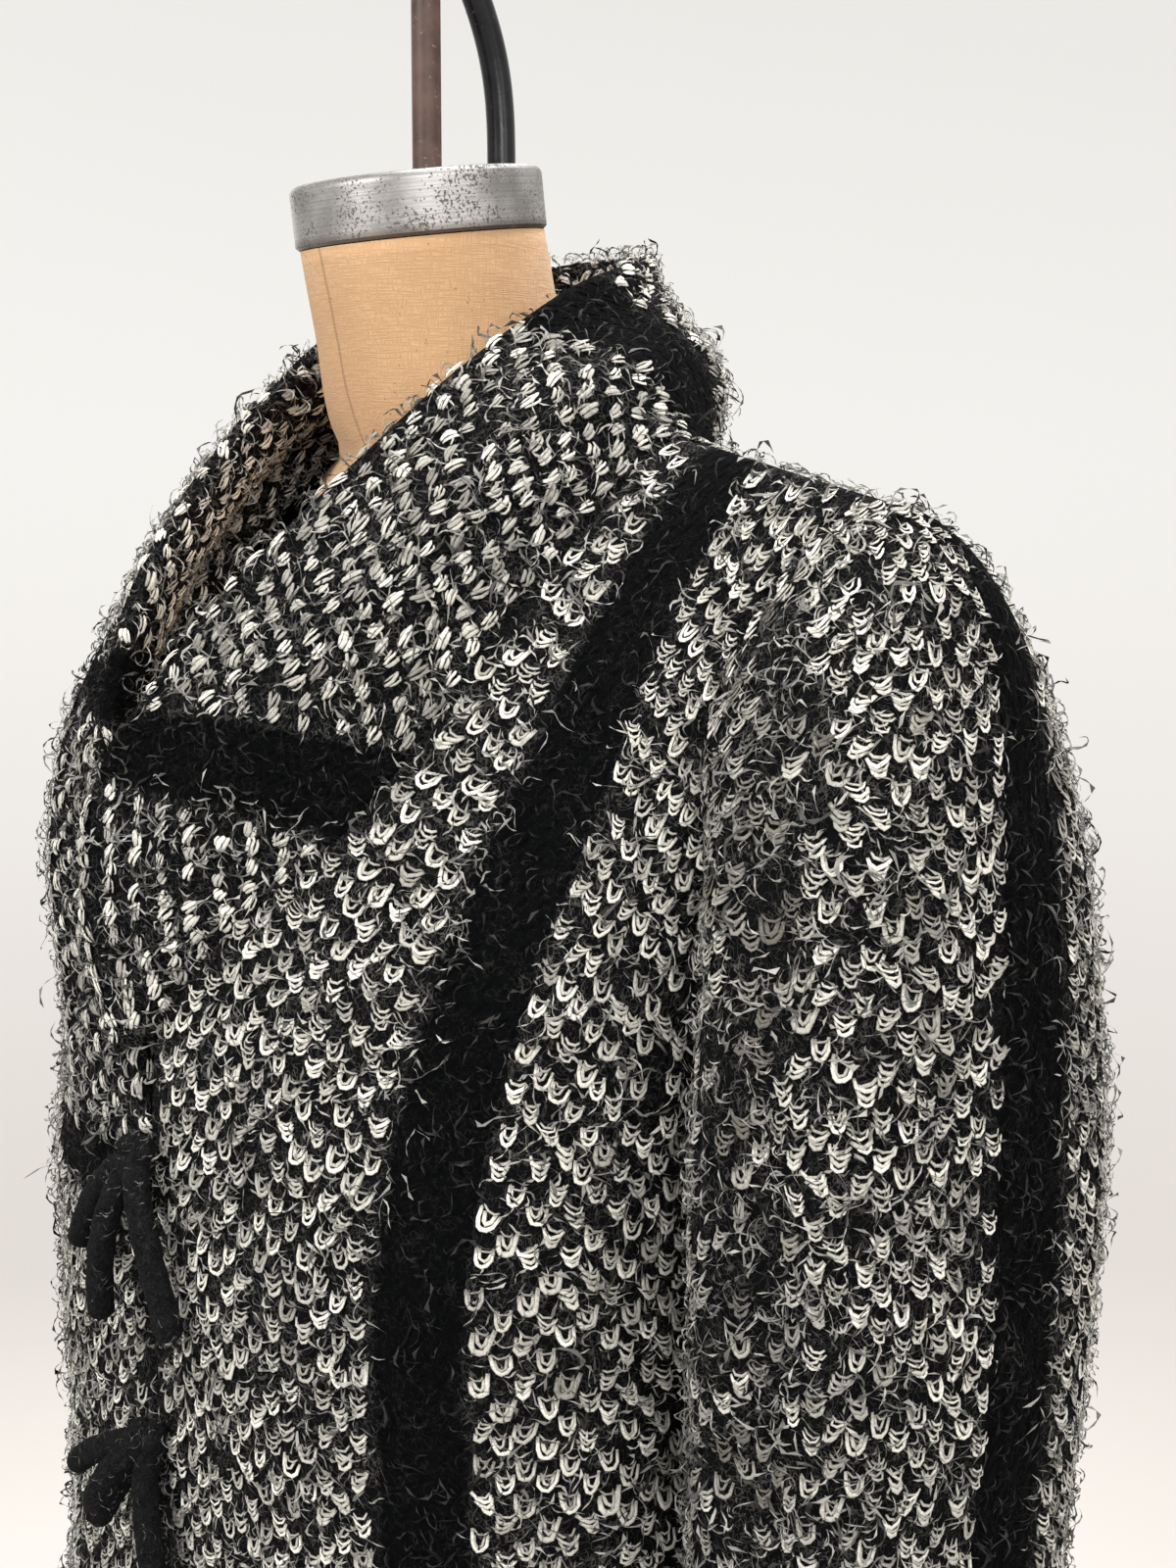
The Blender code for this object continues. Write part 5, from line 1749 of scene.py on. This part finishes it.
slotOf = {row["node"]: row["material_slot"] for row in frame["record"]["subparts"]}
carriers = {"form_torso": formBody(), **makeHardware()}
carriers.update({node: cordTie(node) for node in ("tie_upper", "tie_lower")})
for node, piece in carriers.items():
    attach(piece, "root")
    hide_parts(node)
print("form, stand and ties made")

for group in (loopPatterns, dashPatterns, hazeHairs, strayHairs):
    for pattern in list(group.objects):
        bpy.data.objects.remove(pattern, do_unlink=True)
    bpy.data.collections.remove(group)

# Every hidden solid still carries the finish of the piece that stands for it.
slotFinish = {
    "mohair_tweed": mohairTweed, "felted_cord": feltedCord, "form_linen": formLinen,
    "cast_aluminium": castAluminium, "brown_paint": brownPaint, "blackened_steel": blackSteel,
    "cast_iron_paint": castIron,
}
for node, materialSlot in slotOf.items():
    for slot in frame["nodes"][node].material_slots:
        slot.material = slotFinish[materialSlot]

# Studio: a pale floor that curves up all round, a soft key from the front left and weaker lights.
studio = {
    "wall": (0.84, 0.835, 0.82), "floor": (0.62, 0.575, 0.54), "wallGlow": 0.20,
    "radius": 4.5, "rise": 7.5, "bend": 1.4, "ambient": 0.58,
    "sky": (1.0, 0.985, 0.96, 1.0), "aim": (0, 0, 1.25),
    "turn": 51.0, "side": 0.0765, "away": 1.10, "height": 1.40, "pitch": 7.2, "lens": 51.75,
}
# Each light: steps to the camera's right, towards the camera and up, its width, power and colour.
softLights = {
    "key": (-1.7, 1.5, 2.5, 1.1, 60.0, (1.0, 0.985, 0.96)),
    "fill": (1.7, 1.9, 2.6, 1.4, 33.0, (1.0, 0.97, 0.94)),
    "front": (0.5, 2.6, 2.2, 1.0, 30.0, (1.0, 0.985, 0.96)),
    "top": (0.4, -0.3, 3.2, 1.6, 66.0, (1.0, 1.0, 1.0)),
    "rim": (-0.8, -2.2, 2.0, 1.6, 10.0, (1.0, 0.98, 0.95)),
}
lightAims = {"front": (-0.08, -0.05, 1.35)}
viewTurn = math.radians(studio["turn"])
right = Vector((math.cos(viewTurn), math.sin(viewTurn), 0))
toward = Vector((math.sin(viewTurn), -math.cos(viewTurn), 0))


def wallFinish():
    glow = (*studio["wall"], 1.0)
    finish, where, _ = newFinish(
        "studioWall", Roughness=0.95, Emission_Color=glow, Emission_Strength=studio["wallGlow"]
    )
    pale = tuple(value * 0.985 for value in studio["wall"])
    height = partsOf(where)[2]
    colour = mixed(cloudy(where, 0.8, 2.0), pale, studio["wall"])
    return painted(finish, Base_Color=mixed(ramped(height, -0.4, 1.6), studio["floor"], colour))


def backdrop():
    flat, bend, sides = studio["radius"] - studio["bend"], studio["bend"], 72
    profile = [(r, 0.0) for r in np.linspace(0.4, flat, 8)]
    turns = np.linspace(0, math.pi / 2, 10)[1:]
    profile += [(flat + bend * math.sin(a), bend * (1 - math.cos(a))) for a in turns]
    profile.append((studio["radius"], studio["rise"]))
    points = [(0.0, 0.0, 0.0)]
    for radius, z in profile:
        points += circle(radius, z, sides)
    faces = [(0, 1 + j, 1 + (j + 1) % sides) for j in range(sides)]
    faces += [(a, d, c, b) for a, b, c, d in ringFaces(len(profile), sides, 1)]
    room = meshPiece("studio_backdrop", points, faces, wallFinish())
    room.visible_shadow = False
    room.visible_diffuse = False


def lightUp():
    for name, (aside, near, up, width, power, colour) in softLights.items():
        data = bpy.data.lights.new(name, "AREA")
        data.shape, data.size, data.energy, data.color = "DISK", width, power, colour
        lamp = linked(name, data)
        lamp.location = right * aside + toward * near + Vector((0, 0, up))
        aim = Vector(lightAims.get(name, studio["aim"]))
        lamp.rotation_euler = (aim - lamp.location).to_track_quat("-Z", "Y").to_euler()
    world = bpy.data.worlds.new("studio")
    world.use_nodes = True
    sky = world.node_tree.nodes["Background"]
    sky.inputs["Color"].default_value = studio["sky"]
    sky.inputs["Strength"].default_value = studio["ambient"]
    bpy.context.scene.world = world


def setCamera():
    data = bpy.data.cameras.new("photoView")
    data.sensor_fit = "VERTICAL"
    data.sensor_height = 36.0
    data.lens = studio["lens"]
    data.clip_start = 0.02
    view = linked("photoView", data)
    place = right * studio["side"] + toward * studio["away"] + Vector((0, 0, studio["height"]))
    pitch = math.radians(studio["pitch"])
    ahead = -toward * math.cos(pitch) - Vector((0, 0, math.sin(pitch)))
    view.matrix_world = Matrix.Translation(place) @ ahead.to_track_quat("-Z", "Y").to_matrix().to_4x4()
    bpy.context.scene.camera = view


backdrop()
lightUp()
setCamera()
bpy.context.scene.view_settings.view_transform = "Standard"
print("studio ready")
